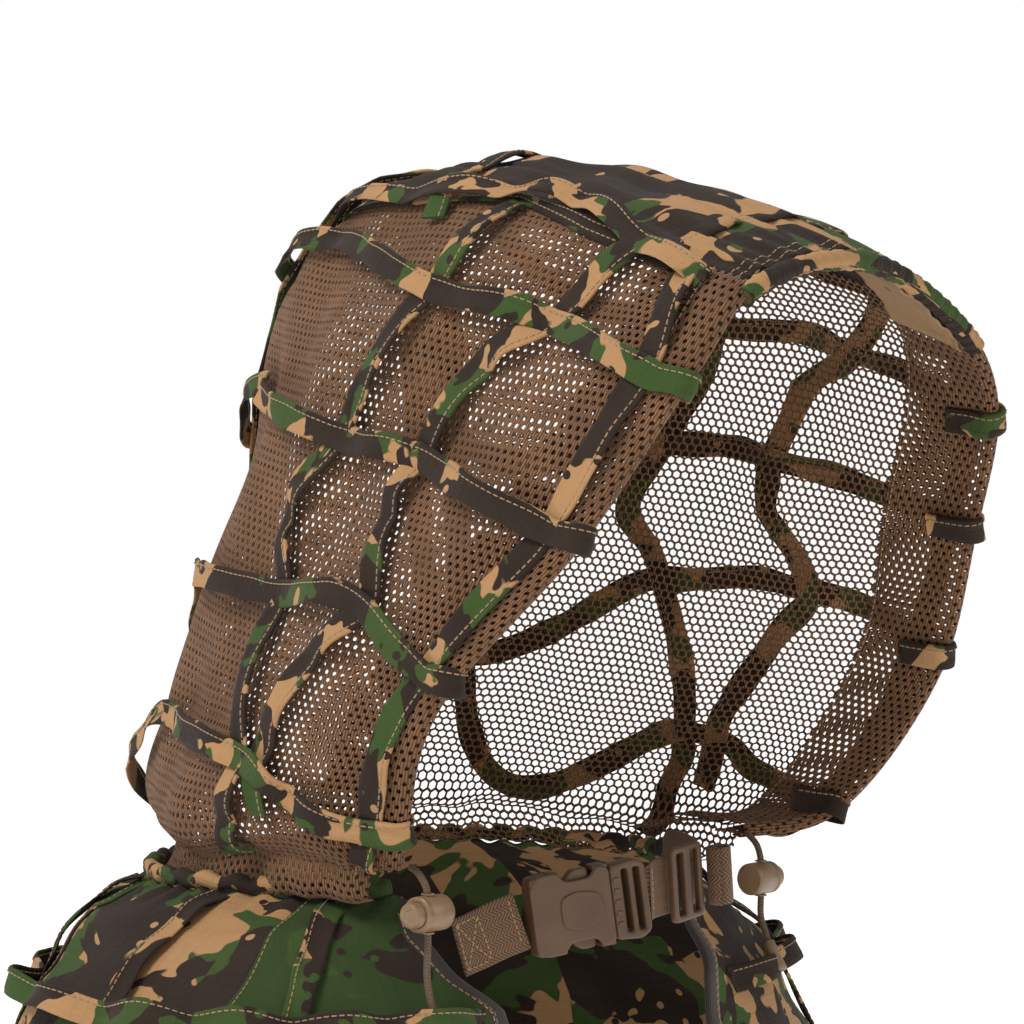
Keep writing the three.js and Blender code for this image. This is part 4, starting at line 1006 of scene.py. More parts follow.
RIBS = {
    "edge_tape": (
        [(0.4, 0.062), (1, 0.055), (2.17, 0.055), (3.03, 0.05), (3.95, 0.055), (4.85, 0.08)], 0.3
    ),
    "front_rib_tape": (
        [
            (1.0, 0.25), (1.55, 0.27), (2.1, 0.24), (2.45, 0.21), (2.9, 0.28), (3.25, 0.29), (3.8, 0.27),
            (4.15, 0.21), (4.95, 0.14)
        ],
        1.9
    ),
    "rear_rib_tape": (
        [
            (0.45, 0.29), (0.95, 0.3), (1.45, 0.31), (2.37, 0.4), (2.75, 0.46), (3.25, 0.43), (4.2, 0.38),
            (4.95, 0.35)
        ],
        3.1
    ),
}
tape_pieces = {}
for name, (waypoints, seed) in RIBS.items():
    for side in ("right", "left"):
        path = hood_tape_path([(side_row(side, row), depth) for row, depth in waypoints], 3.4 * MM, 7 * MM)
        piece, flat = folded_tape(
            f"{name}_{side}_cloth", *path, (seed, seed * 0.31 + (side == "left")), seed + (side == "left")
        )
        finish_tape(piece, flat, f"{name}_{side}")
        tape_pieces[name, side] = piece

# Ring tapes: from one hem round the back to the other, each end lapped round the hem.
RINGS = [
    [(1.0, 0.055), (1.2, 0.2), (1.43, 0.31), (1.5, 0.62), (1.4, 0.99)],
    [(2.17, 0.055), (2.45, 0.23), (2.37, 0.4), (2.27, 0.72), (2.2, 0.99)],
    [(3.03, 0.05), (3.25, 0.29), (3.25, 0.43), (3.4, 0.75), (3.3, 0.99)],
    [(3.9, 0.055), (4.15, 0.21), (4.2, 0.38), (4.5, 0.66), (4.35, 0.99)],
]


def hem_lap(row, rise):
    """Round the fold of the hem and back inside, from the outer face."""
    travel = np.linspace(HEM_LAP_OUTSIDE - 12 * MM, HEM_LAP_OUTSIDE + 26 * MM, 26)
    rows = travel * 0 + row
    level = hem_section(rows, travel, rise)
    lower = hem_section(rows, travel, rise - 1 * MM)
    return level, unit(level - lower)


for i, half in enumerate(RINGS):
    ring = half + [(LAST_ROW - row, depth) for row, depth in half[-2::-1]]
    centres, normals = hood_tape_path(ring, 5.2 * MM, 10 * MM)
    first, first_normals = hem_lap(ring[0][0], 3.0 * MM)
    last, last_normals = hem_lap(ring[-1][0], 3.0 * MM)
    centres = np.concatenate([first[::-1], centres[8:-8], last])
    normals = np.concatenate([first_normals[::-1], normals[8:-8], last_normals])
    seed = 0.7 + 1.3 * i
    piece, flat = folded_tape(f"ring_tape_{i + 1}_cloth", centres, normals, (seed, 0.43 * seed), seed)
    finish_tape(piece, flat, f"ring_tape_{i + 1}")

# Tapes of the crown: one along each edge of the panel, and one across it in a free arc.
for side in ("right", "left"):
    waypoints = [
        (side_row(side, row), depth) for row,
        depth in ((4.72, 0.05), (4.84, 0.15), (5.06, 0.27), (5.0, 0.38), (4.9, 0.55), (4.84, 0.8))
    ]
    centres, normals = hood_tape_path(waypoints, 4.6 * MM, 9 * MM)
    piece, flat = folded_tape(
        f"crown_tape_{side}_cloth", centres, normals, (2.7, 0.9 + (side == "left")), 2.2 + (side == "left")
    )
    finish_tape(piece, flat, f"crown_tape_{side}")
centres, normals = hood_tape_path(
    [(4.7, 0.46), (5.3, 0.5), (6, 0.52), (6.7, 0.5), (7.3, 0.46)], 4.2 * MM, 7 * MM
)
piece, flat = folded_tape("crown_cross_tape_cloth", centres, normals, (1.9, 1.7), 4.4)
finish_tape(piece, flat, "crown_cross_tape")

# The seam up the back is covered with a plain tape of the net's colour, sewn flat.
seam_twill, tree, shader = new_material("coyote_twill_seam_tape", 0.85, Sheen_Weight=0.2)
uv = add_node(tree, "ShaderNodeUVMap").outputs["UV"]
twill = add_node(
    tree, "ShaderNodeTexWave", {"Vector": uv, "Scale": 1 / (3.5 * MM), "Distortion": 0.4},
    bands_direction="DIAGONAL"
)
tint = add_node(tree, "ShaderNodeValToRGB", {"Fac": twill.outputs["Fac"]})
tint.color_ramp.elements[0].color = linear("#5d4636")
tint.color_ramp.elements[1].color = linear("#80634f")
bump = add_node(
    tree, "ShaderNodeBump", {"Height": twill.outputs["Fac"], "Strength": 0.6, "Distance": 0.2 * MM}
)
tree.links.new(tint.outputs["Color"], shader.inputs["Base Color"])
tree.links.new(bump.outputs["Normal"], shader.inputs["Normal"])
seam_rows = np.linspace(0.2, 4.4, 120)
centres = on_hood(seam_rows, seam_rows * 0 + 0.998, 2.0 * MM)
piece, flat = folded_tape(
    "back_seam_tape_twill", centres, hood_normal(seam_rows, seam_rows * 0 + 0.98), (0, 0), 0.2, seam_twill,
    10 * MM, curl=0.1
)
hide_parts("back_seam_tape")

# ---------------------------------------------------------------- cape panels
# The yoke over the shoulders, from the same rip-stop: two front panels, two over the
# shoulders and a back, sewn edge to edge under the garnish tapes. The right front is cut from
# a greener part of the print.
RIGHT_OPENING = [44, 36, 20, 13, 9, 7]
LEFT_OPENING = [30, 21, 14, 11, 9, 7]


def by_ring(drop, values):
    return np.interp(np.clip(drop, 0, 1) * (len(CAPE_RINGS) - 1), np.arange(len(CAPE_RINGS)), values)


def bare_cape(angle, drop):
    z, wide, deep, mid, slope = (by_ring(drop, [ring[k] for ring in CAPE_RINGS]) for k in range(5))
    turn = np.radians(angle)
    power = 2 / CAPE_SQUARENESS
    x = -wide * np.sign(np.sin(turn)) * np.abs(np.sin(turn)) ** power
    y = mid - deep * np.sign(np.cos(turn)) * np.abs(np.cos(turn)) ** power
    return np.stack([x, y, z + slope * (y - mid)], -1) * MM


def cape_normal(angle, drop):
    d = np.clip(drop, 0.02, 0.98)
    around = bare_cape(angle + 2, d) - bare_cape(angle - 2, d)
    down = bare_cape(angle, d + 0.02) - bare_cape(angle, d - 0.02)
    return unit(np.cross(around, down))


def cape_folds(angle, drop):
    """Soft folds that start below the shoulder and deepen towards the hem, and small
    gathers at the neckline."""
    turn = np.radians(angle)
    hang = (
        5.5 * np.sin(7 * turn + 1.2 * np.sin(3 * turn) + 0.8 * drop)
        + 3.0 * np.sin(13 * turn - 1.5 * drop + 0.6)
    )
    creases = (
        1.3 * np.sin(17 * drop + 5 * turn) * np.sin(6 * turn + 2 * drop)
        + 0.8 * np.sin(31 * drop - 9 * turn)
    )
    gathers = 1.0 * np.sin(47 * turn) * (1 - fade(drop, 0, 0.16))
    return (hang * fade(drop, 0.3, 1.0) + creases * fade(drop, 0.02, 0.2) + gathers) * MM * 1.15


def on_cape(angle, drop, offset=0.0):
    angle, drop = np.broadcast_arrays(np.asarray(angle, float), np.asarray(drop, float))
    rise = cape_folds(angle, drop) + offset
    return bare_cape(angle, drop) + cape_normal(angle, drop) * np.asarray(rise)[..., None]


def opening_at(side, drop):
    return by_ring(drop, RIGHT_OPENING) if side == "right" else -by_ring(drop, LEFT_OPENING)


FRONT_SEAM = 66
BACK_SEAM = 122
CAPE_END = 0.985
green_print = printed_cloth(
    "ripstop_green_part_of_print", ground="#34481f", green="#2c3f1b", dark="#281d17", green_from=0.35,
    dark_from=0.63, patch=60, shift=0.21
)


def cape_panel(name, start, end, across, material, shift, lap=0.0):
    def surface(a, b, offset):
        drop = CAPE_END * b
        first, last = start(drop), end(drop)
        return on_cape(first + (last - first) * a, drop, lap + offset)

    piece = cloth_mesh(f"{name}_cloth", surface, across, 90, CLOTH, material, shift)
    edge = np.linspace(0, 1, 220)
    rows = []
    for a in (0.02, 0.98):
        drop = CAPE_END * edge
        angle = start(drop) + (end(drop) - start(drop)) * a
        rows.append(stitch_row(on_cape(angle, drop, lap + CLOTH / 2), cape_normal(angle, drop)))
    piece = sewn(piece, rows)
    finish_sheet(piece, name)


for side, sign in (("right", 1), ("left", -1)):
    cape_panel(f"front_panel_{side}",
               lambda drop, side=side, sign=sign: opening_at(side, drop) + sign * 1.2,
               lambda drop, sign=sign: sign * (FRONT_SEAM + 1.6) + 0 * drop,
               60, green_print if side == "right" else woodland,
               (0.11, 0.9 + 0.5 * sign), CLOTH)
    cape_panel(f"shoulder_panel_{side}",
               lambda drop, sign=sign: sign * FRONT_SEAM + 0 * drop,
               lambda drop, sign=sign: sign * BACK_SEAM + 0 * drop,
               60, woodland, (0.62, 0.3 + 0.4 * sign))
cape_panel("back_panel",
           lambda drop: BACK_SEAM - 1.6 + 0 * drop,
           lambda drop: 360 - BACK_SEAM + 1.6 + 0 * drop,
           110, woodland, (1.4, 0.8), CLOTH)

# ---------------------------------------------------------------- bindings, lower hem, piping
# Dark brown tape folded over the two front edges and the lower hem, with a row of stitches.
# A corded piping of the printed cloth finishes the neckline.
binding_cloth, tree, shader = new_material("dark_brown_binding_tape", 0.85, Sheen_Weight=0.15)
uv = add_node(tree, "ShaderNodeUVMap").outputs["UV"]
ribs = add_node(
    tree, "ShaderNodeTexWave", {"Vector": uv, "Scale": 1 / (3.2 * MM), "Distortion": 0.5},
    bands_direction="Y"
)
tint = add_node(tree, "ShaderNodeValToRGB", {"Fac": ribs.outputs["Fac"]})
tint.color_ramp.elements[0].color = linear("#241c18")
tint.color_ramp.elements[1].color = linear("#3e322b")
bump = add_node(
    tree, "ShaderNodeBump", {"Height": ribs.outputs["Fac"], "Strength": 0.6, "Distance": 0.2 * MM}
)
tree.links.new(tint.outputs["Color"], shader.inputs["Base Color"])
tree.links.new(bump.outputs["Normal"], shader.inputs["Normal"])
BINDING = 7 * MM


def binding_piece(name, at, into, normal, node):
    """Binding folded over an edge: a flat U that wraps from one face to the other."""
    profile = [(1.0, 1.5), (0.5, 1.75), (0.0, 1.8), (-0.2, 1.3), (-0.27, 0.0), (-0.2, -1.3), (0.0, -1.8),
               (0.5, -1.75), (1.0, -1.5),
               (1.0, -1.0), (0.0, -1.1), (-0.12, 0.0), (0.0, 1.1), (1.0, 1.0)]
    ring = [at + into * (x * BINDING) + normal * (h * MM) for x, h in profile]
    points = np.stack(ring, 1).reshape(-1, 3)
    run = travelled(at)
    uv = uv_grid(run, travelled(np.array(profile) * [BINDING, MM]))
    faces = ring_walls(len(at), len(profile))
    stitched = stitch_row(at + into * (BINDING * 0.8) + normal * (1.75 * MM), normal)
    p, f, u, m = joined([(points, faces, uv, 0), (*stitched, None, 1)])
    piece = add_mesh(name, p, f, u, [binding_cloth, thread], m)
    carry(piece, "garment", node)


for side, sign in (("right", 1), ("left", -1)):
    drop = np.linspace(0.01, 0.96, 150)
    angle = opening_at(side, drop) + sign * 0.8
    at = on_cape(angle, drop)
    binding_piece(
        f"front_binding_{side}_tape", at, unit(on_cape(angle + sign, drop) - at), cape_normal(angle, drop),
        f"front_binding_{side}"
    )
angle = np.linspace(opening_at("right", 1) + 0.6, 360 + opening_at("left", 1) - 0.6, 420)
at = on_cape(angle, CAPE_END)
binding_piece(
    "lower_hem_tape", at, unit(on_cape(angle, CAPE_END - 0.02) - at),
    cape_normal(angle, np.full(420, CAPE_END)), "lower_hem"
)

angle = np.linspace(opening_at("right", 0) + 4, 360 + opening_at("left", 0) - 4, 260)
roll = on_cape(angle, 0) + np.array([0, 0, 4.5 * MM])
fullness = 3.4 * MM * (1 + 0.12 * np.sin(angle * 0.9) + 0.07 * np.sin(angle * 2.3 + 1))
piping = tube_mesh("neckline_piping_roll", roll, fullness, woodland, 12, 0.77)
carry(piping, "garment", "neckline_piping")

# ---------------------------------------------------------------- garnish tapes on the cape
# The same folded tape: drops from the neckline over the panel seams, and two rings round the
# cape, standing off in loops between the places where they cross and are tacked.
DROP_TAPES = {"front": (60, 46), "shoulder": (88, 92), "rear": (124, 140)}
RING_DROPS = (0.42, 0.74)


def cape_tape_path(angle, drop, tacks, measure, low, high):
    rise = tacked_rise(measure, tacks, low, high)
    return on_cape(angle, drop, rise), cape_normal(angle, drop)


drop = np.linspace(0.03, 0.94, 120)
for side, sign in (("right", 1), ("left", -1)):
    for k, (name, (top, bottom)) in enumerate(DROP_TAPES.items()):
        angle = sign * (top + (bottom - top) * drop)
        path = cape_tape_path(
            angle, drop, (0.03, 0.2, RING_DROPS[0], 0.58, RING_DROPS[1], 0.94), drop, 2.4 * MM, 9 * MM
        )
        seed = 1.1 * k + 0.6 * (side == "left")
        piece, flat = folded_tape(f"{name}_drop_tape_{side}_cloth", *path, (seed + 0.4, 1.3 * seed), seed)
        finish_tape(piece, flat, f"{name}_drop_tape_{side}")
for i, drop_at in enumerate(RING_DROPS):
    first, last = opening_at("right", drop_at) + 5, 360 + opening_at("left", drop_at) - 5
    crossings = []
    for sign in (1, -1):
        crossings += [
            (360 + sign * (top + (bottom - top) * drop_at)) % 360 for top, bottom in DROP_TAPES.values()
        ]
    tacks = sorted([first, last, 180, *crossings])
    tacks = sorted(tacks + [(p + q) / 2 for p, q in zip(tacks, tacks[1:]) if q - p > 26])
    angle = np.linspace(first, last, 420)
    path = cape_tape_path(angle, np.full(420, drop_at), tacks, angle, 4.2 * MM, 12 * MM)
    piece, flat = folded_tape(f"cape_ring_tape_{i + 1}_cloth", *path, (0.2 + i, 0.9), 0.5 + i)
    finish_tape(piece, flat, f"cape_ring_tape_{i + 1}")

# ---------------------------------------------------------------- neck strap
# 25 mm polyamide webbing, coyote brown, in a herringbone weave. A short tab is sewn to the
# right front with a boxed cross of stitches; the longer strap comes from the left side,
# and its surplus is rolled up in front of the tri-glide.
WEBBING = 25 * MM
WEBBING_THICK = 1.8 * MM
webbing, tree, shader = new_material(
    "woven_polyamide_webbing", 0.68, Sheen_Weight=0.08, Specular_IOR_Level=0.3
)
uv = add_node(tree, "ShaderNodeUVMap").outputs["UV"]
axes = add_node(tree, "ShaderNodeSeparateXYZ", {0: uv})
# Herringbone: slanted ribs that turn back every 3.1 mm across, drawn 1.7 mm apart.
turned = add_node(tree, "ShaderNodeMath", {0: axes.outputs[1], 1: 3.1 * MM}, operation="PINGPONG")
slant = add_node(tree, "ShaderNodeMath", {0: axes.outputs[0], 1: turned.outputs[0]}, operation="ADD")
phase = add_node(
    tree, "ShaderNodeMath", {0: slant.outputs[0], 1: 2 * math.pi / (1.7 * MM)}, operation="MULTIPLY"
)
rib = add_node(tree, "ShaderNodeMath", {0: phase.outputs[0]}, operation="SINE")
level = add_node(tree, "ShaderNodeMapRange", {0: rib.outputs[0], 1: -1.0, 2: 1.0})
tint = add_node(tree, "ShaderNodeValToRGB", {"Fac": level.outputs[0]})
tint.color_ramp.elements[0].color = linear("#463020")
tint.color_ramp.elements[1].color = linear("#7d5e42")
bump = add_node(
    tree, "ShaderNodeBump", {"Height": level.outputs[0], "Strength": 0.9, "Distance": 0.35 * MM}
)
tree.links.new(tint.outputs["Color"], shader.inputs["Base Color"])
tree.links.new(bump.outputs["Normal"], shader.inputs["Normal"])


def strip(name, centres, normals, width, thick, material, stitched=()):
    """A flat woven strip with rounded selvedges; stitched holds lines of places (along,
    across), each from 0 to 1 and from -1 to 1, on its outer face."""
    heading = unit(np.gradient(centres, axis=0))
    side = unit(np.cross(heading, normals))
    normal = np.cross(side, heading)
    outline = [
        (-1, -0.6), (-0.94, -1), (0, -1), (0.94, -1), (1, -0.6), (1, 0.6), (0.94, 1), (0, 1), (-0.94, 1),
        (-1, 0.6)
    ]
    points = np.stack(
        [centres + side * (a * width / 2) + normal * (h * thick / 2) for a, h in outline], 1
    ).reshape(-1, 3)
    run = travelled(centres)
    uv = uv_grid(run, np.array([a for a, _ in outline]) * width / 2)
    parts = [(points, closed_strip(len(centres), len(outline)), uv, 0)]
    for (from_along, from_across), (to_along, to_across) in stitched:
        t = np.linspace(0, 1, 60)
        places = (from_along + (to_along - from_along) * t) * (len(centres) - 1)
        across = from_across + (to_across - from_across) * t
        ups = between(normal, places)
        line = (
            between(centres, places)
            + between(side, places) * (across * width / 2)[:, None]
            + ups * (thick / 2)
        )
        parts.append((*stitch_row(line, ups, 0.35 * MM, 0.7 * MM, 2.6 * MM), None, 1))
    p, f, u, m = joined(parts)
    return add_mesh(name, p, f, u, [material, thread], m), round(float(run[-1]), 3)


def strap_path(points):
    route = smooth_route(points, 14)
    heading = unit(np.gradient(route, axis=0))
    return route, unit(np.cross(heading, np.broadcast_to([0.0, 0, 1], heading.shape)))


TAB_ROUTE = [(-97, -75, -15), (-88, -78, -12), (-79, -82.5, -8), (-71.4, -87.6, -4.8)]
boxed = [((0.04, -0.8), (0.04, 0.8)), ((0.42, -0.8), (0.42, 0.8)), ((0.04, -0.8), (0.42, -0.8)),
         ((0.04, 0.8), (0.42, 0.8)),
         ((0.04, -0.8), (0.42, 0.8)), ((0.04, 0.8), (0.42, -0.8)), ((0.9, -0.8), (0.9, 0.8))]
tab, length = strip(
    "neck_tab_right_webbing", *strap_path(TAB_ROUTE), WEBBING, WEBBING_THICK, webbing, boxed
)
carry(tab, "garment", "neck_tab_right")

GLIDE_AT = (6, -116, 7)
# Half the glide, half the webbing, the slack between them and the bow of the strap.
strap_behind = 3.6 / 2 + 1.8 / 2 + 0.3 + 1.2
SLACK_ROUTE = [
    (-18.6, -114.6, 3.6), (-12, GLIDE_AT[1] + strap_behind, 5), (
        GLIDE_AT[0], GLIDE_AT[1] + strap_behind, GLIDE_AT[2]
    ),
    (24, GLIDE_AT[1] + strap_behind + 4, 9), (42, -89, 11), (57, -68, 10), (67, -58, 6),
]
strap, length = strip("neck_strap_left_webbing", *strap_path(SLACK_ROUTE), WEBBING, WEBBING_THICK, webbing,
                      [((0.1, -0.8), (0.1, 0.8)), ((0.96, -0.8), (0.96, 0.8)), ((0.9, -0.8), (0.9, 0.8))])
tuple(np.array(SLACK_ROUTE[-1]) * MM)
tuple(np.array(SLACK_ROUTE[3]) * MM)
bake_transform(strap)
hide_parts("neck_strap_left")


def turned_frame(place, tilt, swing):
    """Rotation and origin of a fitting that hangs at the strap: tilt about Y, swing about Z."""
    c, s = math.cos(math.radians(tilt)), math.sin(math.radians(tilt))
    about_y = np.array([[c, 0, s], [0, 1, 0], [-s, 0, c]])
    c, s = math.cos(math.radians(swing)), math.sin(math.radians(swing))
    about_z = np.array([[c, -s, 0], [s, c, 0], [0, 0, 1]])
    return about_z @ about_y, np.array(place) * MM


GLIDE_FRAME = turned_frame(GLIDE_AT, -6, 2)


def placed(points, setting):
    turn, origin = setting
    return np.asarray(points) @ turn.T + origin


ROLL_TURNS = 2.6
ROLL_PITCH = 2.3 * MM
t = np.linspace(0.35, 1, 150)
turn = 2 * np.pi * ROLL_TURNS * t
outward = np.stack([np.cos(turn), np.sin(turn), 0 * t], 1)
coil = (
    np.array([19, -5.4, 0]) * MM
    + outward * (ROLL_PITCH * ROLL_TURNS * t * (1 + 0.05 * np.sin(2 * turn)))[:, None]
)
rolled, length = strip(
    "neck_strap_roll_webbing", placed(coil, GLIDE_FRAME), outward @ GLIDE_FRAME[0].T, WEBBING,
    WEBBING_THICK, webbing
)
carry(rolled, "strap_glide", "neck_strap_roll")

# ---------------------------------------------------------------- buckle and tri-glide
# Side-release buckle in acetal, coyote brown, satin from the mould: a hollow female half with
# thumb windows, a male half with two sprung arms, and a tri-glide for the surplus.
acetal, tree, shader = new_material("coyote_brown_acetal", 0.42, Specular_IOR_Level=0.45)
place = add_node(tree, "ShaderNodeTexCoord")
# Fine texture left by the mould, and a slow change of tone from handling.
grain = add_node(
    tree, "ShaderNodeTexNoise", {"Vector": place.outputs["Object"], "Scale": 1 / (0.7 * MM), "Detail": 2.0}
)
slow = add_node(
    tree, "ShaderNodeTexNoise", {"Vector": place.outputs["Object"], "Scale": 60.0, "Detail": 2.0}
)
tint = add_node(tree, "ShaderNodeValToRGB", {"Fac": slow.outputs["Fac"]})
tint.color_ramp.elements[0].color = linear("#46301f")
tint.color_ramp.elements[1].color = linear("#62482f")
bump = add_node(
    tree, "ShaderNodeBump", {"Height": grain.outputs["Fac"], "Strength": 0.25, "Distance": 0.1 * MM}
)
tree.links.new(tint.outputs["Color"], shader.inputs["Base Color"])
tree.links.new(bump.outputs["Normal"], shader.inputs["Normal"])


def rounded(outline, radius):
    """The outline with each corner turned into an arc of about this radius."""
    corners = [np.array(p, float) for p in outline]
    points = []
    for i, corner in enumerate(corners):
        before, after = corners[i - 1] - corner, corners[(i + 1) % len(corners)] - corner
        cut = min(radius, 0.45 * np.linalg.norm(before), 0.45 * np.linalg.norm(after))
        start = corner + before / np.linalg.norm(before) * cut
        end = corner + after / np.linalg.norm(after) * cut
        points += [
            (1 - t) ** 2 * start + 2 * t * (1 - t) * corner + t * t * end
            for t in (0, 0.25, 0.5, 0.75, 1)
        ]
    return points


def box_outline(x0, x1, z0, z1):
    return [(x0, z0), (x1, z0), (x1, z1), (x0, z1)]


def moulded(outline, holes, thick, middle=0.0, edge=0.8, radius=2.0):
    """A moulded plate with rounded edges and corners: outline and holes in X and Z, in
    millimetres, its thickness along Y about the middle."""
    data = bpy.data.curves.new("outline", "CURVE")
    data.dimensions = "2D"
    data.fill_mode = "BOTH"
    edge = min(edge, 0.45 * thick)
    data.extrude = (thick / 2 - edge) * MM
    data.bevel_depth = edge * MM
    data.bevel_resolution = 3
    data.offset = -edge * MM
    for ring, corner in [(outline, radius)] + [(hole, 1.0) for hole in holes]:
        spline = data.splines.new("POLY")
        spots = rounded(ring, corner)
        spline.points.add(len(spots) - 1)
        for point, (x, z) in zip(spline.points, spots):
            point.co = (x * MM, z * MM, 0, 1)
        spline.use_cyclic_u = True
    carrier = bpy.data.objects.new("outline", data)
    mesh = carrier.to_mesh()
    mesh.calc_loop_triangles()
    points = np.array([tuple(v.co) for v in mesh.vertices])
    faces = np.array([tuple(t.vertices) for t in mesh.loop_triangles])
    carrier.to_mesh_clear()
    bpy.data.objects.remove(carrier)
    bpy.data.curves.remove(data)
    points = np.stack([points[:, 0], middle * MM - points[:, 2], points[:, 1]], 1)
    return points, faces


def moulding(name, plates, setting, material, body, node):
    p, f, _, _ = joined([(points, faces, None, 0) for points, faces in plates])
    piece = add_mesh(name, placed(p, setting), f, None, [material])
    piece.data.set_sharp_from_angle(angle=math.radians(40))
    carry(piece, body, node)
    return piece


BUCKLE_FRAME = turned_frame((-68, -89, -4), -8, -28)
HALF = 17.5
MOUTH = 37
cover = [(0, -HALF + 4), (4, -HALF), (13, -HALF), (16, -HALF + 4.5), (28, -HALF + 4.5), (31, -HALF),
         (MOUTH, -HALF + 1.5), (MOUTH, HALF - 1.5), (31, HALF), (28, HALF - 4.5), (16, HALF - 4.5),
         (13, HALF), (4, HALF), (0, HALF - 4)]
crest = [(13, -6), (20, -8.5), (31, -6.5), (33, 0), (31, 6.5), (20, 8.5), (13, 6)]
slots = [box_outline(2.4, 5.2, -13.5, 13.5), box_outline(7, 9.8, -13.5, 13.5)]
female = [moulded(cover, [], 2.2, -3.9, 0.9, 3), moulded(cover, [], 2.2, 3.9, 0.9, 3),
          moulded(crest, [], 1.2, -5.2, 0.5, 3),
          moulded(box_outline(0.2, 12, -HALF + 0.4, HALF - 0.4), slots, 9.6, 0, 1.6, 3)]
for sign in (1, -1):
    low, high = sorted((sign * (HALF - 2.4), sign * HALF))
    female += [
        moulded(box_outline(10, 14, low, high), [], 8, 0, 0.6, 0.8),
        moulded(box_outline(30, MOUTH - 0.3, low, high), [], 8, 0, 0.6, 0.8)
    ]
moulding("buckle_female_shell", female, BUCKLE_FRAME, acetal, "garment", "buckle_female")

BASE = MOUTH + 0.3
male_slots = [
    box_outline(BASE + 5.6, BASE + 8.4, -13.5, 13.5), box_outline(BASE + 11.1, BASE + 13.9, -13.5, 13.5)
]
male = [moulded([(BASE, -HALF + 1.5), (BASE + 12, -HALF), (BASE + 17, -HALF + 3),
                 (BASE + 17, HALF - 3), (BASE + 12, HALF), (BASE, HALF - 1.5)],
                male_slots, 8.6, 0, 1.5, 2.5),
        moulded([(14, -2.2), (17, -3.5), (BASE + 1, -3.5), (BASE + 1, 3.5), (17, 3.5), (14, 2.2)],
                [], 5, 0, 0.8, 1.2)]
for z in (-9.5, -4.8, 0, 4.8, 9.5):
    male.append(moulded(box_outline(BASE + 1, BASE + 4, z - 1.1, z + 1.1), [], 1.0, -4.5, 0.4, 0.8))
moulding("buckle_male_body", male, BUCKLE_FRAME, acetal, "buckle_slider", "buckle_male")
for name, sign in (("upper", 1), ("lower", -1)):
    arm = [
        (BASE + 2.1, 10), (BASE + 2.1, 13), (28.4, 13), (27.6, 17.1), (21, 17.1), (16, 12), (16, 10),
        (19, 8.5), (29, 10)
    ]
    moulding(f"latch_arm_{name}_prong", [moulded([(x, sign * z) for x, z in arm], [], 5, 0, 0.8, 1.4)],
             BUCKLE_FRAME, acetal,
             f"latch_{name}", f"latch_arm_{name}")
glide = [moulded(
    box_outline(-11, 11, -16.5, 16.5),
    [box_outline(-8, -2.4, -13.5, 13.5), box_outline(2.4, 8, -13.5, 13.5)], 3.6, 0, 1.1, 3
)]
moulding("tri_glide_frame", glide, GLIDE_FRAME, acetal, "strap_glide", "tri_glide")

# ---------------------------------------------------------------- cord locks and cord ends
# Tan translucent polypropylene. Each lock is a barrel with a sprung button across the cord;
# each cord end is a tapered cap crimped on the cut cord.
translucent, tree, shader = new_material(
    "translucent_tan_polypropylene", 0.33, Subsurface_Weight=0.35, Subsurface_Scale=0.004
)
place = add_node(tree, "ShaderNodeTexCoord")
# Uneven pigment, a little clearer in places, over the fine frosting of the mould.
cloud = add_node(
    tree, "ShaderNodeTexNoise", {"Vector": place.outputs["Object"], "Scale": 190.0, "Detail": 3.0}
)
tint = add_node(tree, "ShaderNodeValToRGB", {"Fac": cloud.outputs["Fac"]})
tint.color_ramp.elements[0].color = linear("#6b533a")
tint.color_ramp.elements[1].color = linear("#94795a")
frost = add_node(
    tree, "ShaderNodeTexNoise", {"Vector": place.outputs["Object"], "Scale": 1 / (0.6 * MM), "Detail": 1.0}
)
bump = add_node(
    tree, "ShaderNodeBump", {"Height": frost.outputs["Fac"], "Strength": 0.2, "Distance": 0.1 * MM}
)
tree.links.new(tint.outputs["Color"], shader.inputs["Base Color"])
tree.links.new(bump.outputs["Normal"], shader.inputs["Normal"])


def turned_solid(profile, sides=40):
    """A lathe shape about X from (radius, x) pairs in millimetres that start and end on it."""
    turns = np.linspace(0, 2 * np.pi, sides, endpoint=False)
    rings = [np.stack([0 * turns + x, r * np.cos(turns), r * np.sin(turns)], 1) for r, x in profile]
    return np.concatenate(rings) * MM, ring_walls(len(profile), sides, turned=True)


def collar(radius, z, sides=20):
    """A small moulded rim round the cord where it enters the barrel."""
    turns = np.linspace(0, 2 * np.pi, sides, endpoint=False)
    rings = []
    for r, h in (
        (radius, -0.9), (radius + 0.9, -0.9), (radius + 0.9, 0.3), (radius + 0.45, 0.7), (radius, 0.3)
    ):
        rings.append(np.stack(
            [r * np.cos(turns), r * np.sin(turns), 0 * turns + z + math.copysign(h, z)], 1
        ))
    points = np.stack(rings).reshape(-1, 3) * MM
    k = np.arange(5)[:, None] * sides
    j = np.arange(sides)[None]
    following = (k + sides) % (5 * sides)
    quads = np.stack(
        [k + j, following + j, following + (j + 1) % sides, k + (j + 1) % sides], -1
    ).reshape(-1, 4)
    return points, np.concatenate([quads[:, [0, 1, 2]], quads[:, [0, 2, 3]]])


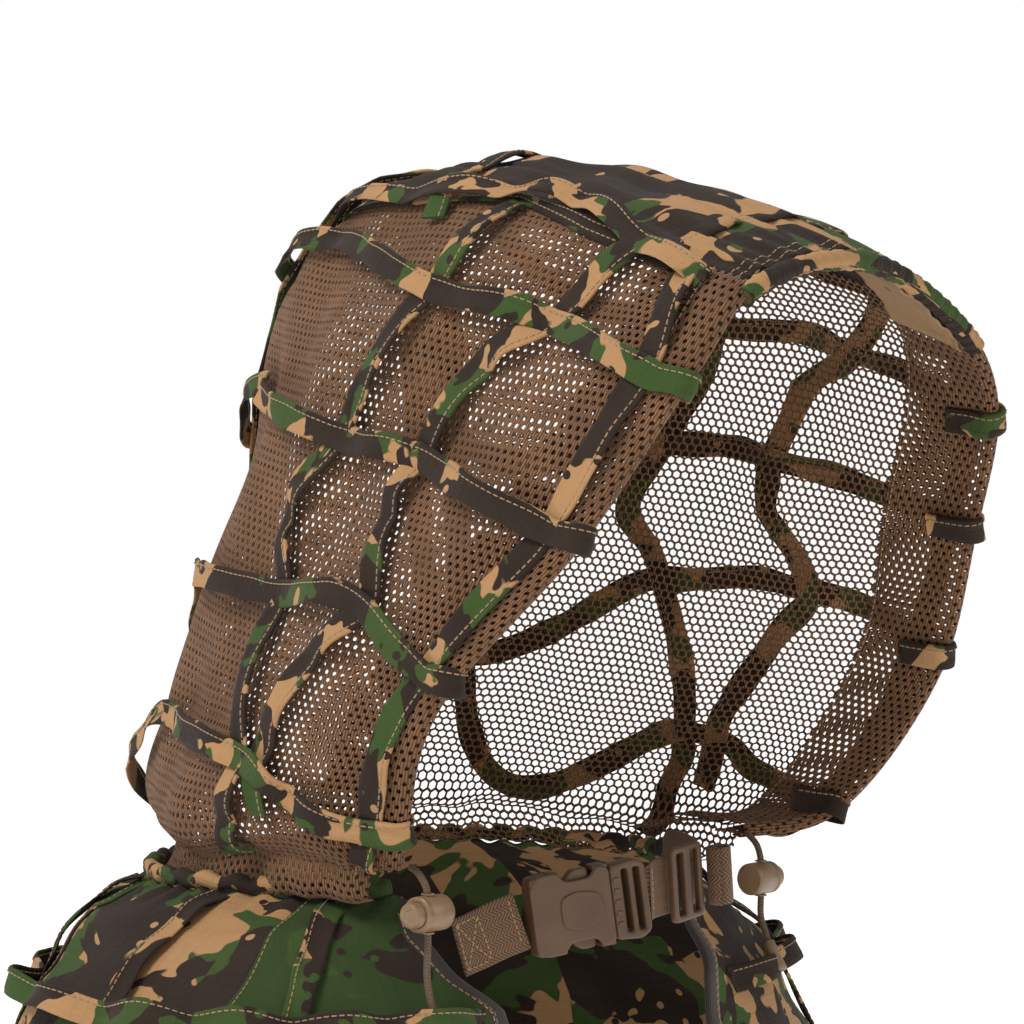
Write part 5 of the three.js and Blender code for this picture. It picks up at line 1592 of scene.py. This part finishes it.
BARREL = [
    (0.01, -10), (5.2, -10), (6.7, -9.6), (7.4, -8.6), (7.5, -7), (7.5, 3.4), (7.1, 3.9), (7.1, 4.7),
    (7.5, 5.2), (7.4, 6.6), (6.9, 7), (5.7, 7), (5.7, -8.2), (0.01, -8.2)
]
BUTTON = [
    (0.01, -3), (5.0, -3), (5.4, -2.6), (5.4, 10.6), (5.1, 11.5), (4.2, 12), (2.6, 12), (2.2, 11.6),
    (0.01, 11.6)
]
SPRING_FROM, SPRING_TO, SPRING_RADIUS = -7.6, -3.6, 4.2
for side, points in CORD_ROUTES.items():
    facing = np.diag([-1.0, -1, 1]) if side == "right" else np.eye(3)
    lock_frame = (facing, np.array(points[3]) * MM)
    moulding(f"cord_lock_barrel_{side}_shell",
             [turned_solid(BARREL), collar(1.9, 7.4), collar(1.9, -7.4)], lock_frame, translucent,
             f"lock_{side}", f"cord_lock_barrel_{side}")
    moulding(
        f"cord_lock_button_{side}_cap", [turned_solid(BUTTON)], lock_frame, translucent, f"button_{side}",
        f"cord_lock_button_{side}"
    )
    t = np.linspace(0, 1, 97)
    turn = 6 * np.pi * t
    rise = SPRING_FROM + (SPRING_TO - SPRING_FROM) * t
    coil = np.stack([rise, SPRING_RADIUS * np.cos(turn), SPRING_RADIUS * np.sin(turn)], 1) * MM
    spring = tube_mesh(
        f"cord_lock_spring_{side}_coil", placed(coil, lock_frame), np.full(97, 0.3 * MM), wire_steel, 8,
        ups=placed(np.tile([1.0, 0, 0], (97, 1)), (facing, np.zeros(3)))
    )
    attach(spring, f"lock_{side}")
    tuple(placed([[SPRING_FROM * MM, 0, 0]], lock_frame)[0])
    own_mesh(spring)
    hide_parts(f"cord_lock_spring_{side}")
    tip, last = cord_lines[side][-1], cord_lines[side][-2]
    along = unit(tip - last)
    across = unit(np.cross(along, [0.0, 1, 0]))
    end_frame = (np.stack([along, across, np.cross(along, across)], 1), tip)
    cap = [
        (0.01, 0), (2.3, 0), (2.7, 0.5), (2.8, 2.2), (3.1, 3.2), (3.1, 4.0), (3.5, 8), (4.3, 13), (4.4, 14),
        (3.9, 14.8), (3.2, 15), (0.01, 15)
    ]
    moulding(
        f"cord_end_{side}_cap", [turned_solid(cap)], end_frame, translucent, "garment", f"cord_end_{side}",
    )
